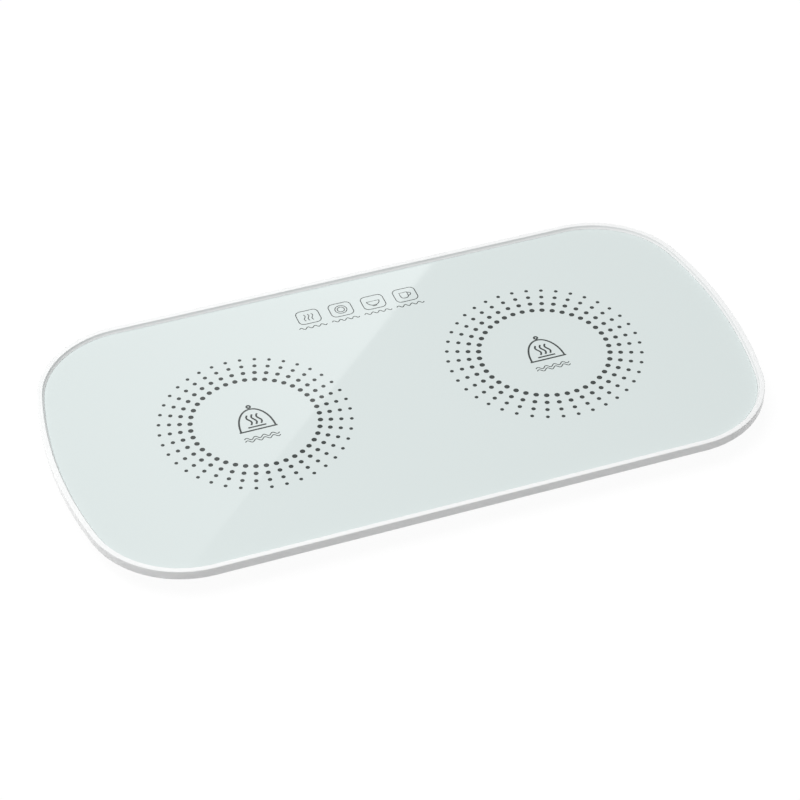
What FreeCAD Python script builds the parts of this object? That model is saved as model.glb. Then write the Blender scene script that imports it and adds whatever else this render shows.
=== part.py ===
"""Two-zone electric food warmer tray.

A tempered glass panel is bonded into a moulded rim. Two heater stacks lie under the glass, and a
screwed bottom cover holds them up and carries the power inlet and one rocker switch for each zone.

All sizes are in millimetres. The origin is on the surface that the feet stand on, below the middle
of the tray. X runs along the tray, Y from the front to the back, and Z is up.
"""
import FreeCAD, Part

import math
import os

from FreeCAD import Vector

# ---- Driving dimensions -------------------------------------------------------------------------

# Plan outline: straight long sides, bowed ends and round corners
TRAY_LENGTH = 600.0
TRAY_WIDTH = 308.4
END_RADIUS = 402.0  # bow of each short end
CORNER_RADIUS = 84.2

# Heights of the shell
FOOT_PROUD = 3.0  # cover to the table
COVER_DEPTH = 13.5  # cover's underside to the underside of its flange
RIM_STEP = 0.8  # rim's lower edge above the flange's underside
RIM_HEIGHT = 8.7
GLASS_RECESS = 3.0  # glass below the rim's top

# Rim
RIM_TOP_WIDTH = 4.2
RIM_INNER_LEAN = 1.5  # how far the wall above the glass leans outwards
RIM_SKIRT = 3.0  # outer wall beside the cover's flange
RIM_UPPER_BREAK = 0.6  # chamfers along the outer wall
RIM_LOWER_BREAK = 1.1
LEDGE_THICK = 1.5
LEDGE_MARGIN = 1.6  # ledge past the screw bosses
BOND_THICK = 0.5
BOND_WIDTH = 11.0
BOND_SETBACK = 1.2  # bond behind the edge of the glass

# Glass
GLASS_THICK = 3.2
GLASS_GAP = 0.3
GLASS_EDGE_BREAK = 0.4

# Bottom cover
COVER_INSET = 17.0  # cover's wall behind the rim's outer face
COVER_WALL = 2.0
COVER_EDGE_BREAK = 2.0
FLANGE_GAP = 0.3
RIB_THICK = 1.6
RIB_HEIGHT = 2.0
RIB_PITCH = 62.0
RIB_COUNT = 3  # lengthwise ribs across the floor

# Screw joints between the cover and the rim
SCREW_RADIUS = 1.45
SCREW_GRIP = 4.6  # screw in the rim's boss
SCREW_HEAD_RADIUS = 2.9
SCREW_HEAD_HEIGHT = 1.9
SCREW_SLOT_WIDTH = 0.9
SCREW_SLOT_LENGTH = 3.6
SCREW_SLOT_DEPTH = 1.1
BOSS_RADIUS = 3.6
BOSS_DROP = 4.0  # rim boss below the ledge
BOSS_WALL_GAP = 0.4
PILOT_GAP = 0.05
TOWER_RADIUS = 4.8
SCREW_HOLE_GAP = 0.25
HEAD_ROOM = 0.6  # counterbore round the screw's head
SEAT_THICK = 2.4
SCREW_FROM_END = 150.0  # screws along both long sides, from the tray's ends

# Feet
FOOT_RADIUS = 10.0
FOOT_RECESS = 0.8
FOOT_FIT = 0.15
FOOT_FROM_END = 86.0  # foot's middle to the tray's end
FOOT_FROM_SIDE = 66.2

# Vent slots in the cover's floor
VENT_LENGTH = 24.0
VENT_WIDTH = 3.0
VENT_PITCH = 9.0
VENT_COUNT = 5
VENT_FROM_END = 62.0

# Heating zones
ZONE_SPACING = 257.4
ZONE_OFFSET_Y = -0.9
SPREADER_SIZE = 176.0
SPREADER_CORNER = 18.0  # clipped off each corner, along both sides
SPREADER_THICK = 1.5
MICA_SETBACK = 3.0  # mica behind the spreader's edge
MICA_THICK = 0.5
TRACK_THICK = 0.4
TRACK_WIDTH = 5.0
TRACK_PITCH = 10.6
TRACK_COUNT = 14
TRACK_MARGIN = 8.0  # bare mica round the track
TRACK_TAB = 7.0  # terminal past the edge of the mica
BOARD_THICK = 0.8
FELT_THICK = 3.5
PAN_THICK = 0.8
PAN_FIT = 0.2
PAN_TOP_GAP = 0.3
PAN_NOTCH_GAP = 1.0
SUPPORT_SPACING = 84.0
SUPPORT_LENGTH = 140.0

# Thermostat, thermal fuse and their clip, on a tab of the heat spreader
SENSOR_TAB = 24.0
SENSOR_TAB_WIDTH = 34.0
THERMOSTAT_LENGTH = 20.0
THERMOSTAT_WIDTH = 7.4
THERMOSTAT_HEIGHT = 3.8
FUSE_LENGTH = 13.0
FUSE_RADIUS = 1.9
SENSOR_GAP = 0.6
CLIP_THICK = 0.6
CLIP_WIDTH = 6.0
CLIP_FOOT = 4.0

# Console at the back of the cover
CONSOLE_LENGTH = 84.0
CONSOLE_PROUD = 3.0
CONSOLE_EDGE_BREAK = 1.0
BEZEL_THICK = 1.2
BEZEL_LAP = 0.7  # bezel past the edge of its cut-out
CUTOUT_GAP = 0.15

# Two-pin power inlet
SOCKET_LOBE_RADIUS = 3.6
SOCKET_WAIST = 5.6
SOCKET_DEPTH = 12.5
PIN_SPACING = 8.6
PIN_RADIUS = 1.2
PIN_LENGTH = 10.0
INLET_WALL = 1.1
INLET_DEPTH = 17.0
BLADE_WIDTH = 4.8
BLADE_THICK = 0.8

# Rocker switches
SWITCH_OFFSET = 25.0
KEY_RADIUS = 6.8  # rocker's ends, about its pivot
KEY_HEIGHT = 6.8
KEY_GAP = 0.3
KEY_PROUD = 2.2
KEY_DISH = 1.3
ROCK_ANGLE = 11.0  # each way from the middle
PIVOT_DEPTH = 2.4  # pivot behind the bezel's face
PIVOT_RADIUS = 1.0
PIVOT_FIT = 0.05
PIVOT_LENGTH = 0.6
SWITCH_WALL = 1.0
SWITCH_TAB_SPACING = 7.0
SWITCH_TAB_WIDTH = 2.8
SWITCH_TAB_THICK = 0.5

# Leads and terminals
TERMINAL_LENGTH = 7.0  # inlet's blades and switches' tabs
LEAD_RADIUS = 0.9
LEAD_BEND = 6.0
LEAD_END_GAP = 0.2  # solder between a lead and its terminal
LEAD_SPREAD = 1.3  # two leads on one blade, each way from its middle
LINK_THICK = 0.8
LINK_WIDTH = 2.0

# ---- Derived heights and insets -----------------------------------------------------------------

HALF_LENGTH = TRAY_LENGTH / 2
HALF_WIDTH = TRAY_WIDTH / 2
COVER_BOTTOM = FOOT_PROUD
FLOOR_TOP = COVER_BOTTOM + COVER_WALL
FLANGE_BOTTOM = COVER_BOTTOM + COVER_DEPTH
RIM_BOTTOM = FLANGE_BOTTOM + RIM_STEP
RIM_TOP = RIM_BOTTOM + RIM_HEIGHT
GLASS_TOP = RIM_TOP - GLASS_RECESS
GLASS_BOTTOM = GLASS_TOP - GLASS_THICK
LEDGE_TOP = GLASS_BOTTOM - BOND_THICK
LEDGE_BOTTOM = LEDGE_TOP - LEDGE_THICK
POCKET_INSET = RIM_TOP_WIDTH + RIM_INNER_LEAN
GLASS_INSET = POCKET_INSET + GLASS_GAP
COVER_INNER_INSET = COVER_INSET + COVER_WALL
BOSS_INSET = COVER_INNER_INSET + BOSS_WALL_GAP + BOSS_RADIUS
LEDGE_INSET = BOSS_INSET + BOSS_RADIUS + LEDGE_MARGIN
BOSS_BOTTOM = LEDGE_BOTTOM - BOSS_DROP
SCREW_SEAT = BOSS_BOTTOM - SEAT_THICK

SPREADER_BOTTOM = GLASS_BOTTOM - SPREADER_THICK
COVER_SHEET_BOTTOM = SPREADER_BOTTOM - MICA_THICK
TRACK_BOTTOM = COVER_SHEET_BOTTOM - TRACK_THICK
BOARD_BOTTOM = TRACK_BOTTOM - BOARD_THICK
FELT_BOTTOM = BOARD_BOTTOM - FELT_THICK
PAN_BOTTOM = FELT_BOTTOM - PAN_THICK
MICA_SIZE = SPREADER_SIZE - 2 * MICA_SETBACK
CLIP_STEP = 2 - math.sqrt(2)  # how much a clipped corner shrinks with each millimetre of inset
MICA_CORNER = SPREADER_CORNER - CLIP_STEP * MICA_SETBACK
ZONE_X = ZONE_SPACING / 2

COVER_BACK = HALF_WIDTH - COVER_INSET
CONSOLE_FACE = COVER_BACK + CONSOLE_PROUD
CONSOLE_INNER = CONSOLE_FACE - COVER_WALL
CONSOLE_AXIS = (FLOOR_TOP + FLANGE_BOTTOM) / 2  # height of the inlet and switches
BEZEL_FACE = CONSOLE_FACE + BEZEL_THICK
SOCKET_HALF_WIDTH = PIN_SPACING / 2 + SOCKET_LOBE_RADIUS
INLET_WIDTH = 2 * (SOCKET_HALF_WIDTH + INLET_WALL)
INLET_HEIGHT = 2 * (SOCKET_LOBE_RADIUS + INLET_WALL)
INLET_BACK = BEZEL_FACE - INLET_DEPTH
SWITCH_BACK = INLET_BACK
TERMINAL_END = INLET_BACK - TERMINAL_LENGTH  # one row, so that a lead runs straight across it
PIVOT_Y = BEZEL_FACE - PIVOT_DEPTH
SWITCH_CAVITY_WIDTH = 2 * (KEY_RADIUS + KEY_GAP)
SWITCH_CAVITY_HEIGHT = KEY_HEIGHT + 2 * KEY_GAP
SWITCH_WIDTH = SWITCH_CAVITY_WIDTH + 2 * SWITCH_WALL
SWITCH_HEIGHT = SWITCH_CAVITY_HEIGHT + 2 * SWITCH_WALL

# Zone frame: the sensors sit in a row across the tab, on the side that faces the tray's middle
SENSOR_ROW_WIDTH = THERMOSTAT_WIDTH + SENSOR_GAP + 2 * FUSE_RADIUS
SENSOR_ROW_X = -(SPREADER_SIZE + SENSOR_TAB) / 2
THERMOSTAT_X = SENSOR_ROW_X - SENSOR_ROW_WIDTH / 2 + THERMOSTAT_WIDTH / 2
FUSE_X = SENSOR_ROW_X + SENSOR_ROW_WIDTH / 2 - FUSE_RADIUS
TRACK_END_Y = (TRACK_COUNT - 1) * TRACK_PITCH / 2
TRACK_TIP_X = -(MICA_SIZE / 2 + TRACK_TAB)

OVERCUT = 1.0  # cutters reach past the faces that they open


# ---- Shapes that several pieces share -----------------------------------------------------------


def plan_wire(inset, z):
    """The tray's outline at height z, moved inwards by inset."""
    half_width = HALF_WIDTH - inset
    end_radius = END_RADIUS - inset
    corner = CORNER_RADIUS - inset
    end_centre = HALF_LENGTH - END_RADIUS
    corner_y = HALF_WIDTH - CORNER_RADIUS
    reach = END_RADIUS - CORNER_RADIUS
    run = math.sqrt(reach**2 - corner_y**2)
    corner_x = end_centre + run
    slope = math.atan2(corner_y, run)
    middle = (slope + math.pi / 2) / 2
    side = (corner_x, half_width)
    corner_mid = (corner_x + corner * math.cos(middle), corner_y + corner * math.sin(middle))
    join = (end_centre + end_radius * math.cos(slope), end_radius * math.sin(slope))
    tip = (HALF_LENGTH - inset, 0.0)

    def place(point, sign_x, sign_y):
        return Vector(sign_x * point[0], sign_y * point[1], z)

    edges = []
    for sx, sy in ((1, -1), (-1, 1)):
        edges.append(Part.Arc(place(side, sx, sy), place(corner_mid, sx, sy), place(join, sx, sy)))
        edges.append(Part.Arc(place(join, sx, sy), place(tip, sx, sy), place(join, sx, -sy)))
        edges.append(Part.Arc(place(join, sx, -sy), place(corner_mid, sx, -sy), place(side, sx, -sy)))
        edges.append(Part.LineSegment(place(side, sx, -sy), place(side, -sx, -sy)))
    return Part.Wire([edge.toShape() for edge in edges])


def slab(inset, bottom, top):
    """The tray's outline, moved inwards by inset and raised from bottom to top."""
    return Part.Face(plan_wire(inset, bottom)).extrude(Vector(0, 0, top - bottom))


def ring(outer, inner, bottom, top):
    """A band between two insets of the outline."""
    return slab(outer, bottom, top).cut(slab(inner, bottom - OVERCUT, top + OVERCUT))


def taper(bottom_inset, bottom, top_inset, top):
    """The outline drawn in from one inset to another."""
    wires = [plan_wire(bottom_inset, bottom), plan_wire(top_inset, top)]
    return Part.makeLoft(wires, True, True)


def box(x_range, y_range, z_range):
    """A block between two corners, given as (low, high) on each axis."""
    lows = Vector(x_range[0], y_range[0], z_range[0])
    sizes = [high - low for low, high in (x_range, y_range, z_range)]
    return Part.makeBox(*sizes, lows)


def around(centre, size):
    """The (low, high) pair of a length about its centre."""
    return (centre - size / 2, centre + size / 2)


def post(x, y, radius, bottom, top):
    """An upright cylinder."""
    return Part.makeCylinder(radius, top - bottom, Vector(x, y, bottom))


def peg(x, z, radius, front, back):
    """A cylinder along Y."""
    return Part.makeCylinder(radius, back - front, Vector(x, front, z), Vector(0, 1, 0))


def plate(size, corner, bottom, top):
    """A square plate with clipped corners, about the Z axis."""
    blank = box(around(0, size), around(0, size), (bottom, top))
    uprights = [e for e in blank.Edges if abs(e.Vertexes[0].Z - e.Vertexes[-1].Z) > (top - bottom) / 2]
    return blank.makeChamfer(corner, uprights)


def edges_at(shape, z):
    """The edges that lie in the plane at height z."""
    flat = 1e-6
    return [e for e in shape.Edges if abs(e.BoundBox.ZMin - z) < flat and abs(e.BoundBox.ZMax - z) < flat]


def edges_on_face(shape, y):
    """The edges that lie in the upright plane at y."""
    flat = 1e-6
    return [e for e in shape.Edges if abs(e.BoundBox.YMin - y) < flat and abs(e.BoundBox.YMax - y) < flat]


def other_side(shape):
    """The same piece for the left half of the tray."""
    return shape.mirror(Vector(0, 0, 0), Vector(1, 0, 0))


def in_zone(shape):
    """A piece of the right-hand zone, moved from the zone's own frame to its place."""
    return shape.translated(Vector(ZONE_X, ZONE_OFFSET_Y, 0))


def lead(points):
    """An insulated wire between two terminals, with a round bend at each inner point."""
    corners = [Vector(*point) for point in points]
    corners[0] += (corners[1] - corners[0]).normalize() * LEAD_END_GAP
    corners[-1] += (corners[-2] - corners[-1]).normalize() * LEAD_END_GAP
    start = corners[0]
    edges = []
    for before, corner, after in zip(corners, corners[1:], corners[2:]):
        back = (before - corner).normalize()
        ahead = (after - corner).normalize()
        turn = math.pi - back.getAngle(ahead)
        cut_back = LEAD_BEND * math.tan(turn / 2)
        arc_start = corner + back * cut_back
        arc_end = corner + ahead * cut_back
        inwards = (back + ahead).normalize()
        depth = LEAD_BEND * (1 / math.cos(turn / 2) - 1)
        edges.append(Part.LineSegment(start, arc_start))
        edges.append(Part.Arc(arc_start, corner + inwards * depth, arc_end))
        start = arc_end
    edges.append(Part.LineSegment(start, corners[-1]))
    path = Part.Wire([edge.toShape() for edge in edges])
    section = Part.Wire(Part.makeCircle(LEAD_RADIUS, corners[0], corners[1] - corners[0]))
    return path.makePipeShell([section], True, True)


# ---- Places that several pieces share -----------------------------------------------------------


def at_four_corners(span_x, span_y):
    """Four places, each span away from the middle."""
    return [(x, y) for x in (-span_x, span_x) for y in (-span_y, span_y)]


def screw_places():
    """Where the cover is screwed to the rim."""
    return at_four_corners(HALF_LENGTH - SCREW_FROM_END, HALF_WIDTH - BOSS_INSET)


def foot_places():
    """The middles of the feet."""
    return at_four_corners(HALF_LENGTH - FOOT_FROM_END, HALF_WIDTH - FOOT_FROM_SIDE)


# ---- Shell --------------------------------------------------------------------------------------


def glass_panel():
    """Tempered glass with a ground upper edge."""
    panel = slab(GLASS_INSET, GLASS_BOTTOM, GLASS_TOP)
    return panel.makeChamfer(GLASS_EDGE_BREAK, edges_at(panel, GLASS_TOP))


def glass_bond():
    """Silicone bead between the glass and the rim's ledge."""
    outer = GLASS_INSET + BOND_SETBACK
    return ring(outer, outer + BOND_WIDTH, LEDGE_TOP, GLASS_BOTTOM)


def rim_frame():
    """Moulded rim: outer wall, pocket and ledge for the glass, and bosses for the cover's screws."""
    frame = slab(0.0, RIM_BOTTOM, RIM_TOP)
    frame = frame.makeChamfer(RIM_UPPER_BREAK, edges_at(frame, RIM_TOP))
    frame = frame.makeChamfer(RIM_LOWER_BREAK, edges_at(frame, RIM_BOTTOM))
    frame = frame.cut(slab(POCKET_INSET, LEDGE_TOP, RIM_TOP + OVERCUT))
    frame = frame.cut(taper(POCKET_INSET, GLASS_TOP, RIM_TOP_WIDTH, RIM_TOP))
    frame = frame.cut(slab(RIM_SKIRT, RIM_BOTTOM - OVERCUT, LEDGE_BOTTOM))
    frame = frame.cut(slab(LEDGE_INSET, LEDGE_BOTTOM - OVERCUT, LEDGE_TOP + OVERCUT))
    pilot_top = BOSS_BOTTOM + SCREW_GRIP + PILOT_GAP
    for x, y in screw_places():
        boss = post(x, y, BOSS_RADIUS, BOSS_BOTTOM, LEDGE_BOTTOM + LEDGE_THICK / 2)
        frame = frame.fuse(boss)
        frame = frame.cut(post(x, y, SCREW_RADIUS + PILOT_GAP, BOSS_BOTTOM - OVERCUT, pilot_top))
    return frame.removeSplitter()


def cover_shell():
    """Outer form of the bottom cover: a shallow pan with a flange that closes the rim's underside."""
    wall_bottom = COVER_BOTTOM + COVER_EDGE_BREAK
    shell = taper(COVER_INSET + COVER_EDGE_BREAK, COVER_BOTTOM, COVER_INSET, wall_bottom)
    shell = shell.fuse(slab(COVER_INSET, wall_bottom, LEDGE_BOTTOM))
    shell = shell.fuse(slab(RIM_SKIRT + FLANGE_GAP, FLANGE_BOTTOM, LEDGE_BOTTOM))
    console = box(
        around(0, CONSOLE_LENGTH), (COVER_BACK - COVER_WALL, CONSOLE_FACE), (COVER_BOTTOM, LEDGE_BOTTOM)
    )
    console = console.makeChamfer(CONSOLE_EDGE_BREAK, edges_on_face(console, CONSOLE_FACE))
    shell = shell.fuse(console)
    shell = shell.cut(slab(COVER_INNER_INSET, FLOOR_TOP, LEDGE_BOTTOM + OVERCUT))
    relief = box(
        around(0, CONSOLE_LENGTH - 2 * COVER_WALL),
        (COVER_BACK - COVER_WALL - OVERCUT, CONSOLE_INNER),
        (FLOOR_TOP, FLANGE_BOTTOM),
    )
    return shell.cut(relief).removeSplitter()


def cover_ribs():
    """Stiffening ribs on the cover's floor, and the grids that hold the heater stacks up."""
    ribs = []
    rib_length = ZONE_SPACING + SUPPORT_LENGTH
    low = (COVER_BOTTOM, FLOOR_TOP + RIB_HEIGHT)
    for index in range(RIB_COUNT):
        y = ZONE_OFFSET_Y + (index - (RIB_COUNT - 1) / 2) * RIB_PITCH
        ribs.append(box(around(0, rib_length), around(y, RIB_THICK), low))
    tall = (COVER_BOTTOM, PAN_BOTTOM)
    for side in (-1, 1):
        for offset in (-SUPPORT_SPACING / 2, SUPPORT_SPACING / 2):
            x = side * ZONE_X
            y = ZONE_OFFSET_Y
            ribs.append(box(around(x, SUPPORT_LENGTH), around(y + offset, RIB_THICK), tall))
            ribs.append(box(around(x + offset, RIB_THICK), around(y, SUPPORT_LENGTH), tall))
    return ribs


def vent_slots():
    """Cutters for the row of slots near each end of the floor."""
    cutters = []
    through = (COVER_BOTTOM - OVERCUT, FLOOR_TOP + OVERCUT)
    row_x = HALF_LENGTH - VENT_FROM_END
    for x in (-row_x, row_x):
        for index in range(VENT_COUNT):
            y = (index - (VENT_COUNT - 1) / 2) * VENT_PITCH
            cutters.append(box(around(x, VENT_LENGTH), around(y, VENT_WIDTH), through))
    return cutters


def console_cutouts():
    """Cutters for the inlet and the two switches."""
    through = (CONSOLE_INNER - OVERCUT, CONSOLE_FACE + OVERCUT)
    z = CONSOLE_AXIS
    grow = 2 * CUTOUT_GAP
    cutters = [box(around(0, INLET_WIDTH + grow), through, around(z, INLET_HEIGHT + grow))]
    for side in (-1, 1):
        x = side * SWITCH_OFFSET
        cutters.append(box(around(x, SWITCH_WIDTH + grow), through, around(z, SWITCH_HEIGHT + grow)))
    return cutters


def bottom_cover():
    """Moulded cover with screw towers, ribs, foot recesses, vents and the console."""
    cover = cover_shell()
    towers = [post(x, y, TOWER_RADIUS, COVER_BOTTOM, BOSS_BOTTOM) for x, y in screw_places()]
    cover = cover.fuse(towers + cover_ribs())
    cutters = vent_slots() + console_cutouts()
    for x, y in screw_places():
        cutters.append(post(x, y, SCREW_RADIUS + SCREW_HOLE_GAP, COVER_BOTTOM, BOSS_BOTTOM + OVERCUT))
        cutters.append(post(x, y, SCREW_HEAD_RADIUS + HEAD_ROOM, COVER_BOTTOM - OVERCUT, SCREW_SEAT))
    for x, y in foot_places():
        top = COVER_BOTTOM + FOOT_RECESS
        cutters.append(post(x, y, FOOT_RADIUS + FOOT_FIT, COVER_BOTTOM - OVERCUT, top))
    return cover.cut(cutters).removeSplitter()


def cover_screw(x, y):
    """Cross-slotted screw, driven upwards into a boss of the rim."""
    head_bottom = SCREW_SEAT - SCREW_HEAD_HEIGHT
    screw = post(x, y, SCREW_HEAD_RADIUS, head_bottom, SCREW_SEAT)
    screw = screw.fuse(post(x, y, SCREW_RADIUS, SCREW_SEAT, BOSS_BOTTOM + SCREW_GRIP))
    depth = (head_bottom - OVERCUT, head_bottom + SCREW_SLOT_DEPTH)
    slots = [
        box(around(x, SCREW_SLOT_LENGTH), around(y, SCREW_SLOT_WIDTH), depth),
        box(around(x, SCREW_SLOT_WIDTH), around(y, SCREW_SLOT_LENGTH), depth),
    ]
    return screw.cut(slots)


def foot(x, y):
    """Silicone foot, set in its recess."""
    return post(x, y, FOOT_RADIUS, 0.0, COVER_BOTTOM + FOOT_RECESS)


# ---- Heater stack, in the zone's own frame ------------------------------------------------------


def heat_spreader():
    """Aluminium plate against the glass, with a tab for the thermostat and the thermal fuse."""
    spreader = plate(SPREADER_SIZE, SPREADER_CORNER, SPREADER_BOTTOM, GLASS_BOTTOM)
    tab_x = (-SPREADER_SIZE / 2 - SENSOR_TAB, -SPREADER_SIZE / 2 + OVERCUT)
    tab = box(tab_x, around(0, SENSOR_TAB_WIDTH), (SPREADER_BOTTOM, GLASS_BOTTOM))
    return spreader.fuse(tab).removeSplitter()


def mica_cover():
    """Mica sheet between the track and the spreader."""
    return plate(MICA_SIZE, MICA_CORNER, COVER_SHEET_BOTTOM, SPREADER_BOTTOM)


def mica_board():
    """Mica board that carries the track."""
    return plate(MICA_SIZE, MICA_CORNER, BOARD_BOTTOM, TRACK_BOTTOM)


def track_half_length(y):
    """How far a run of the track reaches from the middle at y, inside the mica's clipped corners."""
    half = MICA_SIZE / 2 - TRACK_MARGIN
    corner = MICA_CORNER - CLIP_STEP * TRACK_MARGIN
    into_corner = max(0.0, abs(y) + TRACK_WIDTH / 2 - (half - corner))
    return half - into_corner


def heating_track():
    """Flat resistance track that snakes across the mica board, with both ends on the sensor side."""
    z_range = (TRACK_BOTTOM, COVER_SHEET_BOTTOM)
    ys = [(index - (TRACK_COUNT - 1) / 2) * TRACK_PITCH for index in range(TRACK_COUNT)]
    runs = []
    for index, y in enumerate(ys):
        half = track_half_length(y)
        low = TRACK_TIP_X if index in (0, TRACK_COUNT - 1) else -half
        runs.append(box((low, half), around(y, TRACK_WIDTH), z_range))
    for index, (y, next_y) in enumerate(zip(ys, ys[1:])):
        reach = min(track_half_length(y), track_half_length(next_y))
        outer = reach if index % 2 == 0 else TRACK_WIDTH - reach
        runs.append(box((outer - TRACK_WIDTH, outer), (y, next_y), z_range))
    return runs[0].fuse(runs[1:]).removeSplitter()


def felt_pad():
    """Ceramic felt under the mica board."""
    return plate(MICA_SIZE, MICA_CORNER, FELT_BOTTOM, BOARD_BOTTOM)


def felt_pan():
    """Pressed steel pan round the felt, notched where the track's ends come out."""
    outer = MICA_SIZE + 2 * (PAN_FIT + PAN_THICK)
    corner = MICA_CORNER + CLIP_STEP * (PAN_FIT + PAN_THICK)
    inner_corner = MICA_CORNER + CLIP_STEP * PAN_FIT
    top = SPREADER_BOTTOM - PAN_TOP_GAP
    pan = plate(outer, corner, PAN_BOTTOM, top)
    pan = pan.cut(plate(MICA_SIZE + 2 * PAN_FIT, inner_corner, FELT_BOTTOM, top + OVERCUT))
    notch_x = (-outer, -outer / 2 + MICA_CORNER)
    notch_width = TRACK_WIDTH + 2 * PAN_NOTCH_GAP
    for y in (-TRACK_END_Y, TRACK_END_Y):
        pan = pan.cut(box(notch_x, around(y, notch_width), (BOARD_BOTTOM, top + OVERCUT)))
    return pan


def thermostat():
    """Flat bimetal thermostat against the spreader's tab."""
    z_range = (SPREADER_BOTTOM - THERMOSTAT_HEIGHT, SPREADER_BOTTOM)
    return box(around(THERMOSTAT_X, THERMOSTAT_WIDTH), around(0, THERMOSTAT_LENGTH), z_range)


def thermal_fuse():
    """Thermal fuse beside the thermostat."""
    return peg(FUSE_X, SPREADER_BOTTOM - FUSE_RADIUS, FUSE_RADIUS, *around(0, FUSE_LENGTH))


def sensor_clip():
    """Steel strap, spot-welded to the tab, that holds both sensors against it."""
    half = SENSOR_ROW_WIDTH / 2
    outer = half + CLIP_THICK
    foot_end = outer + CLIP_FOOT
    sensor_bottom = SPREADER_BOTTOM - THERMOSTAT_HEIGHT
    strap_width = around(0, CLIP_WIDTH)
    x = SENSOR_ROW_X
    saddle = box((x - outer, x + outer), strap_width, (sensor_bottom - CLIP_THICK, SPREADER_BOTTOM))
    saddle = saddle.cut(box((x - half, x + half), strap_width, (sensor_bottom, SPREADER_BOTTOM)))
    foot_heights = (SPREADER_BOTTOM - CLIP_THICK, SPREADER_BOTTOM)
    feet = [box((x - foot_end, x - outer), strap_width, foot_heights)]
    feet.append(box((x + outer, x + foot_end), strap_width, foot_heights))
    return saddle.fuse(feet).removeSplitter()


# ---- Console ------------------------------------------------------------------------------------


def bezel(x, width, height):
    """Flange that lies on the console's face round a cut-out."""
    lap = 2 * BEZEL_LAP
    blank = box(around(x, width + lap), (CONSOLE_FACE, BEZEL_FACE), around(CONSOLE_AXIS, height + lap))
    return blank.makeChamfer(BEZEL_THICK / 3, edges_on_face(blank, BEZEL_FACE))


def power_inlet():
    """Moulded two-pin inlet with a figure-of-eight socket."""
    z = CONSOLE_AXIS
    block = box(around(0, INLET_WIDTH), (INLET_BACK, CONSOLE_FACE), around(z, INLET_HEIGHT))
    block = block.fuse(bezel(0.0, INLET_WIDTH, INLET_HEIGHT))
    floor = BEZEL_FACE - SOCKET_DEPTH
    mouth = BEZEL_FACE + OVERCUT
    block = block.cut(box(around(0, PIN_SPACING), (floor, mouth), around(z, SOCKET_WAIST)))
    for x in (-PIN_SPACING / 2, PIN_SPACING / 2):
        block = block.cut(peg(x, z, SOCKET_LOBE_RADIUS, floor, mouth))
        block = block.cut(peg(x, z, PIN_RADIUS, INLET_BACK - OVERCUT, mouth))
    return block.removeSplitter()


def inlet_pins():
    """Two brass pins, each with a solder blade behind the inlet."""
    pins = []
    z = CONSOLE_AXIS
    tip = BEZEL_FACE - SOCKET_DEPTH + PIN_LENGTH
    for x in (-PIN_SPACING / 2, PIN_SPACING / 2):
        pin = peg(x, z, PIN_RADIUS, INLET_BACK, tip)
        blade = box(around(x, BLADE_THICK), (TERMINAL_END, INLET_BACK), around(z, BLADE_WIDTH))
        pins.append(pin.fuse(blade))
    return pins


def switch_housing():
    """Body of the right-hand rocker switch, open at the front for the rocker."""
    x = SWITCH_OFFSET
    z = CONSOLE_AXIS
    body = box(around(x, SWITCH_WIDTH), (SWITCH_BACK, CONSOLE_FACE), around(z, SWITCH_HEIGHT))
    body = body.fuse(bezel(x, SWITCH_WIDTH, SWITCH_HEIGHT))
    cavity_back = PIVOT_Y - KEY_RADIUS - KEY_GAP
    cavity = box(
        around(x, SWITCH_CAVITY_WIDTH), (cavity_back, BEZEL_FACE + OVERCUT), around(z, SWITCH_CAVITY_HEIGHT)
    )
    half = SWITCH_CAVITY_HEIGHT / 2 + PIVOT_LENGTH
    hinge = post(x, PIVOT_Y, PIVOT_RADIUS + PIVOT_FIT, z - half, z + half)
    return body.cut([cavity, hinge]).removeSplitter()


def switch_tabs():
    """Two terminals behind the switch."""
    y_range = (TERMINAL_END, SWITCH_BACK)
    z_range = around(CONSOLE_AXIS, SWITCH_TAB_WIDTH)
    places = around(SWITCH_OFFSET, SWITCH_TAB_SPACING)
    return [box(around(x, SWITCH_TAB_THICK), y_range, z_range) for x in places]


def rocker_key():
    """Rocker with dished face and round ends, on two short pivots, tilted to off."""
    x = SWITCH_OFFSET
    z = CONSOLE_AXIS
    low = z - KEY_HEIGHT / 2
    drum = post(x, PIVOT_Y, KEY_RADIUS, low, low + KEY_HEIGHT)
    edge_y = BEZEL_FACE + KEY_PROUD
    back_y = PIVOT_Y - KEY_RADIUS / 2
    half = KEY_RADIUS + OVERCUT
    left_edge = Vector(x - half, edge_y, low)
    dish = Vector(x, edge_y - KEY_DISH, low)
    right_edge = Vector(x + half, edge_y, low)
    right_back = Vector(x + half, back_y, low)
    left_back = Vector(x - half, back_y, low)
    outline = [
        Part.Arc(left_edge, dish, right_edge),
        Part.LineSegment(right_edge, right_back),
        Part.LineSegment(right_back, left_back),
        Part.LineSegment(left_back, left_edge),
    ]
    blank = Part.Face(Part.Wire([edge.toShape() for edge in outline])).extrude(Vector(0, 0, KEY_HEIGHT))
    key = blank.common(drum)
    pivot_reach = KEY_HEIGHT / 2 + KEY_GAP + PIVOT_LENGTH - PIVOT_FIT
    key = key.fuse(post(x, PIVOT_Y, PIVOT_RADIUS, z - pivot_reach, z + pivot_reach)).removeSplitter()
    key.rotate(Vector(x, PIVOT_Y, z), Vector(0, 0, 1), ROCK_ANGLE)
    return key


# ---- Wiring -------------------------------------------------------------------------------------


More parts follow.
